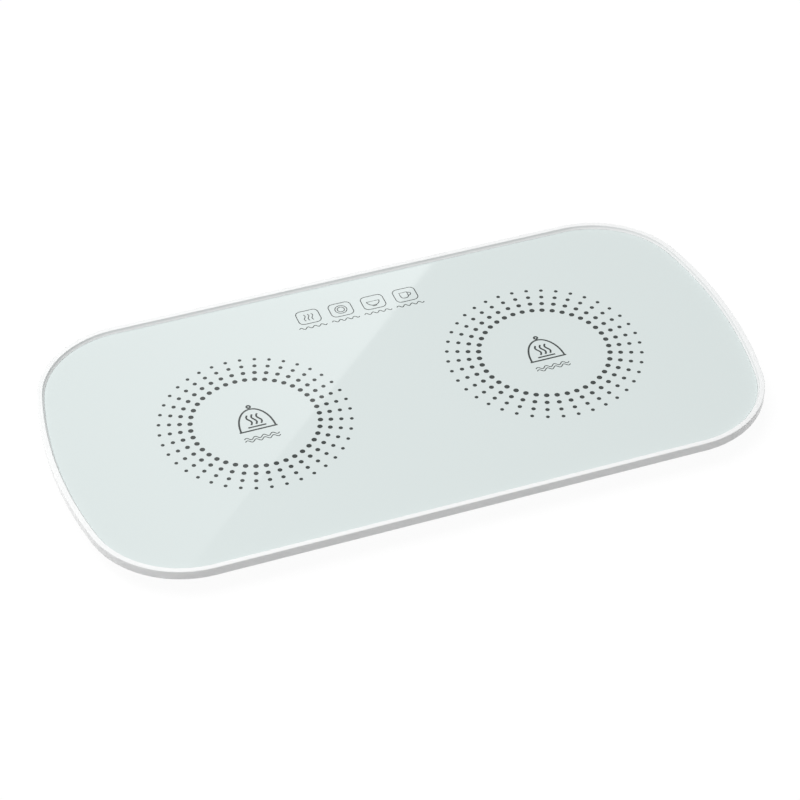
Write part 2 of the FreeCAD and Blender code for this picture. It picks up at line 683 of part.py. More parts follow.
def sensor_link():
    """Nickel strip that joins the thermostat's front end to the fuse's, in the zone's own frame."""
    z_range = around(SPREADER_BOTTOM - FUSE_RADIUS, LINK_WIDTH)
    front = -THERMOSTAT_LENGTH / 2
    outer_x = (THERMOSTAT_X - LINK_WIDTH / 2, FUSE_X + LINK_WIDTH / 2)
    bar = box(outer_x, (front - LINK_THICK, front), z_range)
    arm = box(around(FUSE_X, LINK_THICK), (front, -FUSE_LENGTH / 2), z_range)
    return bar.fuse(arm).removeSplitter()


def feed_leads():
    """Leads from the live blade to the two switches: one beside it, one past the neutral blade."""
    blade_x = PIN_SPACING / 2
    tab_x = SWITCH_OFFSET - SWITCH_TAB_SPACING / 2
    beside = TERMINAL_END + TERMINAL_LENGTH / 2
    behind = TERMINAL_END - LEAD_RADIUS - LEAD_END_GAP
    low = CONSOLE_AXIS - LEAD_SPREAD
    near_side = [
        (blade_x + BLADE_THICK / 2, beside, low),
        (tab_x - SWITCH_TAB_THICK / 2, beside, CONSOLE_AXIS),
    ]
    far_side = [(blade_x, behind, CONSOLE_AXIS + LEAD_SPREAD), (-tab_x, behind, CONSOLE_AXIS)]
    return [lead(near_side), lead(far_side)]


def neutral_lead(side):
    """Lead from the neutral blade to the front end of one zone's track; side is 1 or -1."""
    level = CONSOLE_AXIS - LEAD_SPREAD
    start = (side * (LEAD_RADIUS + CUTOUT_GAP) - PIN_SPACING / 2, TERMINAL_END, level)
    end_x = side * (ZONE_X + TRACK_TIP_X - LEAD_RADIUS)
    end = (end_x, ZONE_OFFSET_Y - TRACK_END_Y, TRACK_BOTTOM + TRACK_THICK / 2)
    knee = (end_x / 3, 0.0, level)
    return lead([start, knee, end])


def switched_lead():
    """Lead from the right-hand switch to its zone's thermostat."""
    start = (SWITCH_OFFSET + SWITCH_TAB_SPACING / 2, TERMINAL_END, CONSOLE_AXIS)
    end_y = ZONE_OFFSET_Y + THERMOSTAT_LENGTH / 2
    end = (ZONE_X + THERMOSTAT_X, end_y, SPREADER_BOTTOM - THERMOSTAT_HEIGHT / 2)
    return lead([start, end])


def element_lead():
    """Lead from the right-hand zone's fuse to the back end of its track."""
    start = (ZONE_X + FUSE_X, ZONE_OFFSET_Y + FUSE_LENGTH / 2, SPREADER_BOTTOM - FUSE_RADIUS)
    edge_y = ZONE_OFFSET_Y + TRACK_END_Y - TRACK_WIDTH / 2
    end = (ZONE_X + TRACK_TIP_X + TRACK_WIDTH / 2, edge_y, TRACK_BOTTOM + TRACK_THICK / 2)
    return lead([start, end])


# ---- Assembly -----------------------------------------------------------------------------------


def zone_pieces():
    """The heater stack's pieces in the zone's own frame, by name."""
    return {
        "heat_spreader": heat_spreader(),
        "mica_cover": mica_cover(),
        "heating_track": heating_track(),
        "mica_board": mica_board(),
        "felt_pad": felt_pad(),
        "felt_pan": felt_pan(),
        "thermostat": thermostat(),
        "thermal_fuse": thermal_fuse(),
        "sensor_clip": sensor_clip(),
        "sensor_link": sensor_link(),
    }


def side_pieces():
    """The right-hand pieces of the console and its wiring, by name."""
    return {
        "switch_housing": switch_housing(),
        "switch_tabs": Part.Compound(switch_tabs()),
        "rocker_key": rocker_key(),
        "switched_lead": switched_lead(),
        "element_lead": element_lead(),
    }


def all_pieces():
    """Every piece in its place, by node name."""
    pieces = {
        "glass_panel": glass_panel(),
        "glass_bond": glass_bond(),
        "rim_frame": rim_frame(),
        "bottom_cover": bottom_cover(),
        "cover_screws": Part.Compound([cover_screw(x, y) for x, y in screw_places()]),
        "feet": Part.Compound([foot(x, y) for x, y in foot_places()]),
        "power_inlet": power_inlet(),
        "inlet_pins": Part.Compound(inlet_pins()),
    }
    pairs = {name: in_zone(shape) for name, shape in zone_pieces().items()}
    pairs.update(side_pieces())
    for name, shape in pairs.items():
        pieces[f"{name}_right"] = shape
        pieces[f"{name}_left"] = other_side(shape)
    pieces["feed_leads"] = Part.Compound(feed_leads())
    pieces["neutral_lead_right"] = neutral_lead(1)
    pieces["neutral_lead_left"] = neutral_lead(-1)
    return pieces


def main():
    os.makedirs("parts", exist_ok=True)
    for name, shape in all_pieces().items():
        shape.exportStep(f"parts/{name}.step")
        print(name, len(shape.Solids), shape.isValid(), round(shape.Volume, 1))


main()
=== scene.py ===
"""Looks of a two-zone electric food warmer tray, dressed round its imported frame.

Each sub-assembly is a class that takes its sizes from the frame's boxes. Lengths are in metres, and
the named sizes of the object are written in millimetres times MM. X runs along the tray, Y from the
front to the back, and Z is up.
"""
import logging
import math
from collections.abc import Iterable, Sequence
from dataclasses import dataclass, field
from enum import Enum
from typing import NamedTuple, Protocol

import bmesh
import bpy
from mathutils import Matrix, Vector


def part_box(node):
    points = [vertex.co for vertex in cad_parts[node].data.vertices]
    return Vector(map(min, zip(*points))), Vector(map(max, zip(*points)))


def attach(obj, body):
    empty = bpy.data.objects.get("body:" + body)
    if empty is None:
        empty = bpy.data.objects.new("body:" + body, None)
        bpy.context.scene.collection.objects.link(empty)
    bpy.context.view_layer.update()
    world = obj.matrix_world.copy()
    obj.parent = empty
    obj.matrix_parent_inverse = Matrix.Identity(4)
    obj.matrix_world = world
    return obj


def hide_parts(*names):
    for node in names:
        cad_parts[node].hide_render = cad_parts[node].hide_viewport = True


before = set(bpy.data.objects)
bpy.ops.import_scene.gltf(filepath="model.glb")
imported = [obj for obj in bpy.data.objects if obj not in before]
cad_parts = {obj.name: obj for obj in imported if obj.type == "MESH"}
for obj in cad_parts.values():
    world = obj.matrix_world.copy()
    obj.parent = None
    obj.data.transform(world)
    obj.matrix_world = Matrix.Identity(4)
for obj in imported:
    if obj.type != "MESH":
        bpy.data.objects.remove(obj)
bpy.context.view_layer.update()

MM = 0.001
MERGE_DISTANCE = 0.001 * MM
SMOOTH_BELOW = math.radians(32)  # edges flatter than this are shaded as one surface
ROUNDING_STEP = math.radians(15)  # between the points of a small rounding
CURVE_STEP = math.radians(5)  # between the points of a printed curve

log = logging.getLogger("food_warmer")

Point = tuple[float, float]
Point3 = tuple[float, float, float]
Line = list[Point]
Colour = tuple[float, float, float, float]


class Body(str, Enum):
    """The rigid bodies that pieces ride on."""

    TRAY = "tray"
    ROCKER_LEFT = "rocker_left"
    ROCKER_RIGHT = "rocker_right"


class Slot(str, Enum):
    """The material slots of the record; each new piece names one, but nothing here reads it."""

    GLASS = "printed_glass"
    WHITE = "white_plastic"
    WHITE_SATIN = "white_plastic_satin"
    BLACK = "black_plastic"
    BLACK_GLOSS = "black_plastic_gloss"
    SILICONE = "foot_silicone"
    STEEL = "plated_steel"
    BRASS = "brass"


class Side(str, Enum):
    """The two halves of the tray."""

    LEFT = "left"
    RIGHT = "right"

    @property
    def sign(self) -> int:
        """-1 on the left, 1 on the right."""
        return -1 if self is Side.LEFT else 1

    @property
    def rocker(self) -> Body:
        """The body of this side's rocker."""
        return Body.ROCKER_LEFT if self is Side.LEFT else Body.ROCKER_RIGHT


# ---- Node and mesh helpers ------------------------------------------------------------------------


def linear(hex_colour: str) -> Colour:
    """Turns an sRGB hex colour such as "#F2F3F3" into linear values.

    Args:
        hex_colour: The colour, with its leading #.

    Returns:
        Linear red, green and blue, and an alpha of 1.
    """
    channels = [int(hex_colour[start : start + 2], 16) / 255 for start in (1, 3, 5)]
    values = [c / 12.92 if c <= 0.04045 else ((c + 0.055) / 1.055) ** 2.4 for c in channels]
    return (values[0], values[1], values[2], 1.0)


def add_node(
    tree: bpy.types.NodeTree, kind: str, feeds: dict | None = None, **settings: str
) -> bpy.types.Node:
    """Adds a node, sets its properties, and sets or links its inputs.

    Args:
        tree: The node tree.
        kind: The node's type name.
        feeds: Input name or index, each with a value, a socket to link, or a node whose first output
            is linked.
        **settings: Properties of the node.

    Returns:
        The new node.
    """
    node = tree.nodes.new(kind)
    for name, value in settings.items():
        setattr(node, name, value)
    for key, value in (feeds or {}).items():
        source = value.outputs[0] if isinstance(value, bpy.types.Node) else value
        if isinstance(source, bpy.types.NodeSocket):
            tree.links.new(source, node.inputs[key])
        else:
            node.inputs[key].default_value = source
    return node


def blank_material(name: str) -> bpy.types.Material:
    """Makes a material with an empty node tree.

    Args:
        name: The material's name.

    Returns:
        The new material.
    """
    material = bpy.data.materials.new(name)
    material.use_nodes = True
    material.node_tree.nodes.clear()
    return material


def mesh_object(name: str, points: Iterable, faces: Iterable, edges: Iterable = ()) -> bpy.types.Object:
    """Makes an object at the origin from plain lists.

    Args:
        name: The object's name.
        points: Vertex places.
        faces: Vertex numbers of each face.
        edges: Vertex numbers of each loose edge.

    Returns:
        The object, linked to the scene.
    """
    mesh = bpy.data.meshes.new(name)
    mesh.from_pydata([tuple(p) for p in points], [tuple(e) for e in edges], [tuple(f) for f in faces])
    mesh.validate()
    thing = bpy.data.objects.new(name, mesh)
    bpy.context.scene.collection.objects.link(thing)
    return thing


def line_object(name: str, lines: Iterable[Sequence[Point3]]) -> bpy.types.Object:
    """Makes an object of loose lines; a line that ends where it starts is closed.

    Args:
        name: The object's name.
        lines: The points of each line.

    Returns:
        The object, linked to the scene.
    """
    points: list[Point3] = []
    edges: list[tuple[int, int]] = []
    for line in lines:
        is_closed = line[0] == line[-1]
        kept = line[:-1] if is_closed else line
        first = len(points)
        points += kept
        edges += [(first + i, first + i + 1) for i in range(len(kept) - 1)]
        if is_closed:
            edges.append((len(points) - 1, first))
    return mesh_object(name, points, [], edges)


def closed_line(name: str, points: Line) -> bpy.types.Object:
    """Makes an object of one closed line, flat at height 0."""
    return line_object(name, [[(x, y, 0.0) for x, y in closed(points)]])


def smooth(thing: bpy.types.Object) -> bpy.types.Object:
    """Shades a piece smooth, with sharp edges where it bends by more than SMOOTH_BELOW.

    Args:
        thing: The piece.

    Returns:
        The same piece.
    """
    thing.data.polygons.foreach_set("use_smooth", [True] * len(thing.data.polygons))
    thing.data.set_sharp_from_angle(angle=SMOOTH_BELOW)
    return thing


def dress(thing: bpy.types.Object, material: bpy.types.Material) -> bpy.types.Object:
    """Gives a piece its one material.

    Args:
        thing: The piece.
        material: Its material.

    Returns:
        The same piece.
    """
    thing.data.materials.clear()
    thing.data.materials.append(material)
    return thing


def settle(thing: bpy.types.Object, body: Body, slot: Slot, *nodes: str) -> bpy.types.Object:
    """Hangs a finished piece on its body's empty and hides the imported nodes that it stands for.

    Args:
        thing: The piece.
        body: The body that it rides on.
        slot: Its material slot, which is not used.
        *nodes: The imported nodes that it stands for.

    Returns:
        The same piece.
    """
    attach(thing, body.value)
    if nodes:
        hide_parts(*nodes)
    log.info("%s: %d faces on %s", thing.name, len(thing.data.polygons), body.value)
    return thing


def dressed_copy(
    node: str, name: str, material: bpy.types.Material, body: Body, slot: Slot
) -> bpy.types.Object:
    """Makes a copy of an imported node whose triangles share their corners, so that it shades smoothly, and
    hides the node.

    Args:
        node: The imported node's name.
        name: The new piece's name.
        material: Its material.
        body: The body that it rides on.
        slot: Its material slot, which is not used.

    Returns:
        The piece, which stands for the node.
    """
    work = bmesh.new()
    work.from_mesh(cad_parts[node].data)
    bmesh.ops.remove_doubles(work, verts=work.verts, dist=MERGE_DISTANCE)
    work.verts.index_update()
    points = [v.co.copy() for v in work.verts]
    faces = [[v.index for v in f.verts] for f in work.faces]
    work.free()
    piece = smooth(mesh_object(name, points, faces))
    return settle(dress(piece, material), body, slot, node)


# ---- Lines and solids -----------------------------------------------------------------------------


def closed(line: Line) -> Line:
    """The line with its first point again at its end."""
    return line + line[:1]


def arc_points(centre: Point, radius: float, start: float, end: float, step: float) -> Line:
    """Divides an arc evenly.

    Args:
        centre: The arc's middle.
        radius: Its radius.
        start: Angle of its first point.
        end: Angle of its last point.
        step: Largest angle between two points.

    Returns:
        Points on the arc, with both ends.
    """
    count = max(2, math.ceil(abs(end - start) / step))
    angles = [start + (end - start) * index / count for index in range(count + 1)]
    return [(centre[0] + radius * math.cos(a), centre[1] + radius * math.sin(a)) for a in angles]


def ellipse(centre: Point, radii: Point, start: float, end: float) -> Line:
    """An arc of an upright ellipse, with angles in degrees."""
    unit = arc_points((0.0, 0.0), 1.0, math.radians(start), math.radians(end), CURVE_STEP)
    return [(centre[0] + x * radii[0], centre[1] + y * radii[1]) for x, y in unit]


class Corner(NamedTuple):
    """A corner of a section: how far in from the outline it lies, its height and its rounding."""

    inset: float
    height: float
    rounding: float = 0.0


def rounded_profile(corners: Sequence[Corner]) -> Line:
    """Rounds the corners of a closed section.

    Args:
        corners: The corners, clockwise from outside below.

    Returns:
        The section's points as (outwards, down), in the same order.
    """
    points: Line = []
    places = [Vector((-corner.inset, corner.height)) for corner in corners]
    for index, corner in enumerate(corners):
        here = places[index]
        if corner.rounding == 0.0:
            points.append((here.x, -here.y))
            continue
        before = places[index - 1] - here
        after = places[(index + 1) % len(places)] - here
        turn = math.pi - before.angle(after)
        cut_back = corner.rounding * math.tan(turn / 2)
        start = here + before.normalized() * cut_back
        inwards = (before.normalized() + after.normalized()).normalized()
        centre = here + inwards * corner.rounding / math.cos(turn / 2)
        spoke = start - centre
        sense = -1 if before.x * after.y - before.y * after.x > 0 else 1
        pieces = max(2, math.ceil(turn / ROUNDING_STEP))
        for piece in range(pieces + 1):
            place = centre + Matrix.Rotation(sense * turn * piece / pieces, 2) @ spoke
            points.append((place.x, -place.y))
    return points


def stacked_slab(name: str, loops: Sequence[Line], heights: Sequence[float]) -> bpy.types.Object:
    """A closed solid through horizontal loops of equal point counts, from the lowest to the highest.

    Args:
        name: The piece's name.
        loops: One loop of points for each level, anticlockwise.
        heights: The level of each loop.

    Returns:
        The solid.
    """
    size = len(loops[0])
    points = [(x, y, z) for loop, z in zip(loops, heights) for x, y in loop]
    faces = [list(reversed(range(size))), [size * (len(loops) - 1) + i for i in range(size)]]
    for level in range(len(loops) - 1):
        low = level * size
        for i in range(size):
            j = (i + 1) % size
            faces.append([low + i, low + j, low + size + j, low + size + i])
    return mesh_object(name, points, faces)


def turned(name: str, section: Line, sides: int) -> bpy.types.Object:
    """A closed solid of revolution about Z.

    Args:
        name: The piece's name.
        section: Radius and height of each ring, from the bottom to the top.
        sides: Number of faces round the axis.

    Returns:
        The solid.
    """
    angles = [math.tau * index / sides for index in range(sides)]
    loops = [[(radius * math.cos(a), radius * math.sin(a)) for a in angles] for radius, _ in section]
    return stacked_slab(name, loops, [height for _, height in section])


# ---- Geometry Nodes -------------------------------------------------------------------------------


@dataclass
class NodeRecipe:
    """A Geometry Nodes tree with named inputs, run once on an object and turned into a plain mesh."""

    name: str
    tree: bpy.types.NodeTree = field(init=False)
    entry: bpy.types.Node = field(init=False)

    def __post_init__(self) -> None:
        """Starts the tree with a geometry input and output."""
        self.tree = bpy.data.node_groups.new(self.name, "GeometryNodeTree")
        self.tree.interface.new_socket("Geometry", in_out="INPUT", socket_type="NodeSocketGeometry")
        self.tree.interface.new_socket("Geometry", in_out="OUTPUT", socket_type="NodeSocketGeometry")
        self.entry = self.tree.nodes.new("NodeGroupInput")

    def size(self, label: str, kind: str = "NodeSocketFloat") -> bpy.types.NodeSocket:
        """Adds a named input and returns the socket that feeds it into the tree."""
        self.tree.interface.new_socket(label, in_out="INPUT", socket_type=kind)
        return self.entry.outputs[label]

    def add(self, kind: str, feeds: dict | None = None, **settings: str) -> bpy.types.Node:
        """Adds a node to the tree."""
        return add_node(self.tree, kind, feeds, **settings)

    def finish(self, shape: bpy.types.Node) -> None:
        """Ends the tree: instances become real, and the material is set.

        Args:
            shape: The node whose first output is the finished shape.
        """
        material = self.size("Material", "NodeSocketMaterial")
        real = self.add("GeometryNodeRealizeInstances", {"Geometry": shape})
        dressed = self.add("GeometryNodeSetMaterial", {"Geometry": real, "Material": material})
        self.add("NodeGroupOutput", {0: dressed})

    def run(self, thing: bpy.types.Object, **values: object) -> bpy.types.Object:
        """Runs the tree on an object and keeps the result as the object's plain mesh.

        Args:
            thing: The object that the tree starts from.
            **values: Each named input's value, with underscores for the spaces in its name.

        Returns:
            The same object, with its new mesh and no modifier.
        """
        modifier = thing.modifiers.new(self.name, "NODES")
        modifier.node_group = self.tree
        items = self.tree.interface.items_tree
        sockets = {item.name: item.identifier for item in items if item.in_out == "INPUT"}
        for label, value in values.items():
            modifier[sockets[label.replace("_", " ")]] = value
        graph = bpy.context.evaluated_depsgraph_get()
        mesh = bpy.data.meshes.new_from_object(thing.evaluated_get(graph))
        while mesh.materials and mesh.materials[0] is None:
            mesh.materials.pop(index=0)  # a mesh primitive brings an empty slot, which no face uses
        thing.modifiers.remove(modifier)
        thing.data = mesh
        mesh.name = thing.name
        return thing


def sweep_recipe() -> NodeRecipe:
    """A closed section swept along a closed path in the XY plane.

    Returns:
        The recipe, for a section whose X is outwards and whose Y is down.
    """
    recipe = NodeRecipe("Section along outline")
    section = recipe.size("Section", "NodeSocketObject")
    path = recipe.add("GeometryNodeMeshToCurve", {0: recipe.entry})
    level = recipe.add("GeometryNodeSetCurveNormal", {0: path}, mode="Z_UP")
    shape = recipe.add("GeometryNodeObjectInfo", {"Object": section})
    profile = recipe.add("GeometryNodeMeshToCurve", {0: shape.outputs["Geometry"]})
    recipe.finish(recipe.add("GeometryNodeCurveToMesh", {"Curve": level, "Profile Curve": profile}))
    return recipe


def stroke_recipe() -> NodeRecipe:
    """Flat printed strokes of one width and thickness along drawn lines.

    Returns:
        The recipe, for an object of loose lines.
    """
    recipe = NodeRecipe("Printed strokes")
    width = recipe.size("Stroke Width")
    thickness = recipe.size("Print Thickness")
    lines = recipe.add("GeometryNodeMeshToCurve", {0: recipe.entry})
    level = recipe.add("GeometryNodeSetCurveNormal", {0: lines}, mode="Z_UP")
    section = recipe.add("GeometryNodeCurvePrimitiveQuadrilateral", {"Width": width, "Height": thickness})
    feeds = {"Curve": level, "Profile Curve": section, "Fill Caps": True}
    recipe.finish(recipe.add("GeometryNodeCurveToMesh", feeds))
    return recipe


def dot_rings_recipe() -> NodeRecipe:
    """Concentric rings of round dots that shrink outwards, all on the same rays.

    Returns:
        The recipe, which makes its own points and needs nothing from the object that it runs on.
    """
    recipe = NodeRecipe("Rings of dots")
    rings = recipe.size("Rings", "NodeSocketInt")
    per_ring = recipe.size("Dots Per Ring", "NodeSocketInt")
    inner = recipe.size("Inner Ring Radius")
    pitch = recipe.size("Ring Pitch")
    dot = recipe.size("Inner Dot Radius")
    shrink = recipe.size("Dot Shrink")
    first = recipe.size("First Angle")
    thickness = recipe.size("Print Thickness")
    sides = recipe.size("Dot Sides", "NodeSocketInt")
    centre = recipe.size("Centre", "NodeSocketVector")
    index = recipe.add("GeometryNodeInputIndex")
    before = recipe.add("ShaderNodeMath", {0: index, 1: per_ring}, operation="DIVIDE")
    ring = recipe.add("ShaderNodeMath", {0: before}, operation="FLOOR")
    place = recipe.add("ShaderNodeMath", {0: index, 1: per_ring}, operation="MODULO")
    turns = recipe.add("ShaderNodeMath", {0: place, 1: math.tau}, operation="MULTIPLY")
    turn = recipe.add("ShaderNodeMath", {0: turns, 1: per_ring}, operation="DIVIDE")
    angle = recipe.add("ShaderNodeMath", {0: turn, 1: first}, operation="ADD")
    radius = recipe.add("ShaderNodeMath", {0: ring, 1: pitch, 2: inner}, operation="MULTIPLY_ADD")
    cosine = recipe.add("ShaderNodeMath", {0: angle}, operation="COSINE")
    sine = recipe.add("ShaderNodeMath", {0: angle}, operation="SINE")
    x = recipe.add("ShaderNodeMath", {0: radius, 1: cosine}, operation="MULTIPLY")
    y = recipe.add("ShaderNodeMath", {0: radius, 1: sine}, operation="MULTIPLY")
    offset = recipe.add("ShaderNodeCombineXYZ", {"X": x, "Y": y})
    where = recipe.add("ShaderNodeVectorMath", {0: offset, 1: centre}, operation="ADD")
    count = recipe.add("ShaderNodeMath", {0: rings, 1: per_ring}, operation="MULTIPLY")
    points = recipe.add("GeometryNodePoints", {"Count": count, "Position": where})
    less = recipe.add("ShaderNodeMath", {0: ring, 1: shrink}, operation="MULTIPLY")
    size = recipe.add("ShaderNodeMath", {0: dot, 1: less}, operation="SUBTRACT")
    scale = recipe.add("ShaderNodeCombineXYZ", {"X": size, "Y": size, "Z": 1.0})
    feeds = {"Vertices": sides, "Radius": 1.0, "Depth": thickness}
    disc = recipe.add("GeometryNodeMeshCylinder", feeds)
    feeds = {"Points": points, "Instance": disc, "Scale": scale}
    recipe.finish(recipe.add("GeometryNodeInstanceOnPoints", feeds))
    return recipe


def corner_grid_recipe() -> NodeRecipe:
    """The same piece at the four corners of a rectangle, turned by a fixed random angle at each.

    Returns:
        The recipe, for a piece about the origin.
    """
    recipe = NodeRecipe("Piece at four corners")
    span_x = recipe.size("Span X")
    span_y = recipe.size("Span Y")
    spin = recipe.size("Random Turn")
    seed = recipe.size("Seed", "NodeSocketInt")
    feeds = {"Size X": span_x, "Size Y": span_y, "Vertices X": 2, "Vertices Y": 2}
    grid = recipe.add("GeometryNodeMeshGrid", feeds)
    # Inputs 2 and 3 are the least and the largest value of a random number, and output 1 is the number
    feeds = {2: 0.0, 3: spin, "Seed": seed}
    turn = recipe.add("FunctionNodeRandomValue", feeds, data_type="FLOAT").outputs[1]
    angles = recipe.add("ShaderNodeCombineXYZ", {"Z": turn})
    feeds = {"Points": grid, "Instance": recipe.entry, "Rotation": angles}
    recipe.finish(recipe.add("GeometryNodeInstanceOnPoints", feeds))
    return recipe


# ---- Finishes -------------------------------------------------------------------------------------


class Pattern(Enum):
    """What the marks of a fine relief look like."""

    GRAIN = "ShaderNodeTexNoise"
    CELLS = "ShaderNodeTexVoronoi"


@dataclass(frozen=True)
class Relief:
    """A fine relief: how large its marks are, and how far they stand out."""

    size_mm: float
    depth_mm: float
    detail: float = 2.0
    pattern: Pattern = Pattern.GRAIN
    length_mm: float | None = None  # marks that are longer along X, such as rolling lines

    def normal(self, tree: bpy.types.NodeTree, place: bpy.types.NodeSocket) -> bpy.types.NodeSocket:
        """Adds the relief to a material.

        Args:
            tree: The material's node tree.
            place: Object coordinates in metres.

        Returns:
            The normal for the shader.
        """
        if self.length_mm:
            stretch = (self.size_mm / self.length_mm, 1.0, 1.0)
            place = add_node(tree, "ShaderNodeMapping", {"Vector": place, "Scale": stretch}).outputs[0]
        feeds = {"Vector": place, "Scale": 1 / (self.size_mm * MM), "Detail": self.detail}
        height = add_node(tree, self.pattern.value, feeds)
        feeds = {"Height": height, "Distance": self.depth_mm * MM, "Strength": 1.0}
        return add_node(tree, "ShaderNodeBump", feeds).outputs[0]


@dataclass(frozen=True)
class Finish:
    """What every finish has: a name, a colour and a gloss that varies a little over the surface."""

    name: str
    colour: str
    roughness: float = 0.4
    metallic: float = 0.0
    gloss_change: float = 0.05  # of the roughness, each way, over patches of handling and moulding
    patch_mm: float = 45.0
    shade_change: float = 0.02  # share by which the colour darkens over the same patches
    patch_detail: float = 3.0
    patch_range: Point = (0.3, 0.7)  # most of the noise lies between these values

    def relief(self) -> Relief | None:
        """The finish's fine relief, or None for a surface without one."""
        return None

    def extras(self) -> dict[str, float]:
        """Shader inputs that only some finishes set, such as an IOR or a sheen."""
        return {}

    def tones(
        self, tree: bpy.types.NodeTree, place: bpy.types.NodeSocket, patches: bpy.types.NodeSocket
    ) -> tuple[bpy.types.NodeSocket, Colour, Colour]:
        """Chooses two tones and what blends them; here some patches are a shade darker than the rest.

        Args:
            tree: The material's node tree.
            place: Object coordinates in metres.
            patches: Noise of the size of the patches.

        Returns:
            The blend from 0 to 1, and the tones at 0 and at 1.
        """
        base = linear(self.colour)
        darker = tuple(c * (1 - self.shade_change) for c in base[:3]) + (1.0,)
        return patches, darker, base

    def material(self) -> bpy.types.Material:
        """Builds the material.

        Returns:
            A node material on Object coordinates, with its patterns sized in millimetres.
        """
        material = blank_material(self.name)
        tree = material.node_tree
        place = add_node(tree, "ShaderNodeTexCoord").outputs["Object"]
        feeds = {"Vector": place, "Scale": 1 / (self.patch_mm * MM), "Detail": self.patch_detail}
        patches = add_node(tree, "ShaderNodeTexNoise", feeds).outputs[0]
        feeds = {
            "Value": patches,
            "From Min": self.patch_range[0],
            "From Max": self.patch_range[1],
            "To Min": self.roughness - self.gloss_change,
            "To Max": self.roughness + self.gloss_change,
        }
        roughness = add_node(tree, "ShaderNodeMapRange", feeds)
        blend, first, second = self.tones(tree, place, patches)
        # Inputs 6 and 7 are the colours that a Mix node blends, and output 2 is the blend
        feeds = {"Factor": blend, 6: first, 7: second}
        colour = add_node(tree, "ShaderNodeMix", feeds, data_type="RGBA").outputs[2]
        feeds = {"Base Color": colour, "Roughness": roughness, "Metallic": self.metallic}
        feeds.update(self.extras())
        relief = self.relief()
        if relief:
            feeds["Normal"] = relief.normal(tree, place)
        shader = add_node(tree, "ShaderNodeBsdfPrincipled", feeds)
        add_node(tree, "ShaderNodeOutputMaterial", {"Surface": shader})
        return material


@dataclass(frozen=True)
class MouldedPlastic(Finish):
    """Injection-moulded plastic: the polish or spark-eroded grain of its mould shows in the gloss."""

    grain_mm: float = 1.6  # a spark-eroded grain is drawn coarser than it is, so that it shows
    grain_depth_mm: float = 0.004
    ior: float = 1.5

    def relief(self) -> Relief:
        """Fine grain or orange peel left by the mould."""
        return Relief(self.grain_mm, self.grain_depth_mm, detail=4.0)

    def extras(self) -> dict[str, float]:
        """The plastic's IOR."""
        return {"IOR": self.ior}


@dataclass(frozen=True)
class BackPrintedGlass(Finish):
    """Toughened soda-lime glass, enamelled on its back: full gloss over an even, slightly green colour."""

    roller_wave_mm: float = 260.0  # the slow wave that the toughening rollers leave
    roller_wave_depth_mm: float = 0.02
    ior: float = 1.52

    def relief(self) -> Relief:
        """The rollers' slow wave, which bends a long reflection a little."""
        return Relief(self.roller_wave_mm, self.roller_wave_depth_mm, detail=0.0)

    def extras(self) -> dict[str, float]:
        """The glass's IOR."""
        return {"IOR": self.ior}


@dataclass(frozen=True)
class Silicone(Finish):
    """Silicone rubber: matt, with a soft bloom on its skin."""

    skin_mm: float = 0.5  # drawn coarser than it is, so that it shows
    skin_depth_mm: float = 0.01
    bloom: float = 0.25

    def relief(self) -> Relief:
        """The skin of the press mould."""
        return Relief(self.skin_mm, self.skin_depth_mm, detail=3.0)

    def extras(self) -> dict[str, float]:
        """The bloom, as sheen."""
        return {"Sheen Weight": self.bloom}


@dataclass(frozen=True)
class RolledMetal(Finish):
    """Rolled sheet: fine lines along one direction, bright metal between them."""

    metallic: float = 1.0
    line_mm: float = 0.25  # from line to line, drawn coarser than it is, so that it shows
    line_length_mm: float = 30.0
    line_depth_mm: float = 0.002

    def relief(self) -> Relief:
        """Rolling lines along X."""
        return Relief(self.line_mm, self.line_depth_mm, length_mm=self.line_length_mm)


@dataclass(frozen=True)
class ZincPlate(Finish):
    """Zinc-plated steel: small bright and dull crystals side by side."""

    metallic: float = 1.0
    crystal_mm: float = 1.2  # drawn coarser than it is, so that it shows
    crystal_depth_mm: float = 0.003

    def relief(self) -> Relief:
        """Crystal edges."""
        return Relief(self.crystal_mm, self.crystal_depth_mm, detail=0.0, pattern=Pattern.CELLS)


@dataclass(frozen=True)
class Mica(Finish):
    """Pressed mica sheet: overlapping flakes of brown and silver."""

    flake_mm: float = 7.0
    flake_colour: str = "#C9B68E"

    def tones(
        self, tree: bpy.types.NodeTree, place: bpy.types.NodeSocket, patches: bpy.types.NodeSocket
    ) -> tuple[bpy.types.NodeSocket, Colour, Colour]:
        """Gives each flake a tone of its own between brown and silver.

        Args:
            tree: The material's node tree.
            place: Object coordinates in metres.
            patches: Noise of the size of the patches, which the flakes don't follow.

        Returns:
            The blend from 0 to 1, and the tones at 0 and at 1.
        """
        feeds = {"Vector": place, "Scale": 1 / (self.flake_mm * MM)}
        flakes = add_node(tree, "ShaderNodeTexVoronoi", feeds)
        return flakes.outputs["Color"], linear(self.colour), linear(self.flake_colour)


@dataclass(frozen=True)
class CeramicFelt(Finish):
    """Ceramic fibre felt: tangled white fibres, fully matt."""

    tuft_mm: float = 0.4  # tufts stand in for the fibres, which are too fine to show
    tuft_depth_mm: float = 0.3

    def relief(self) -> Relief:
        """Tangled tufts of fibres."""
        return Relief(self.tuft_mm, self.tuft_depth_mm, detail=6.0)


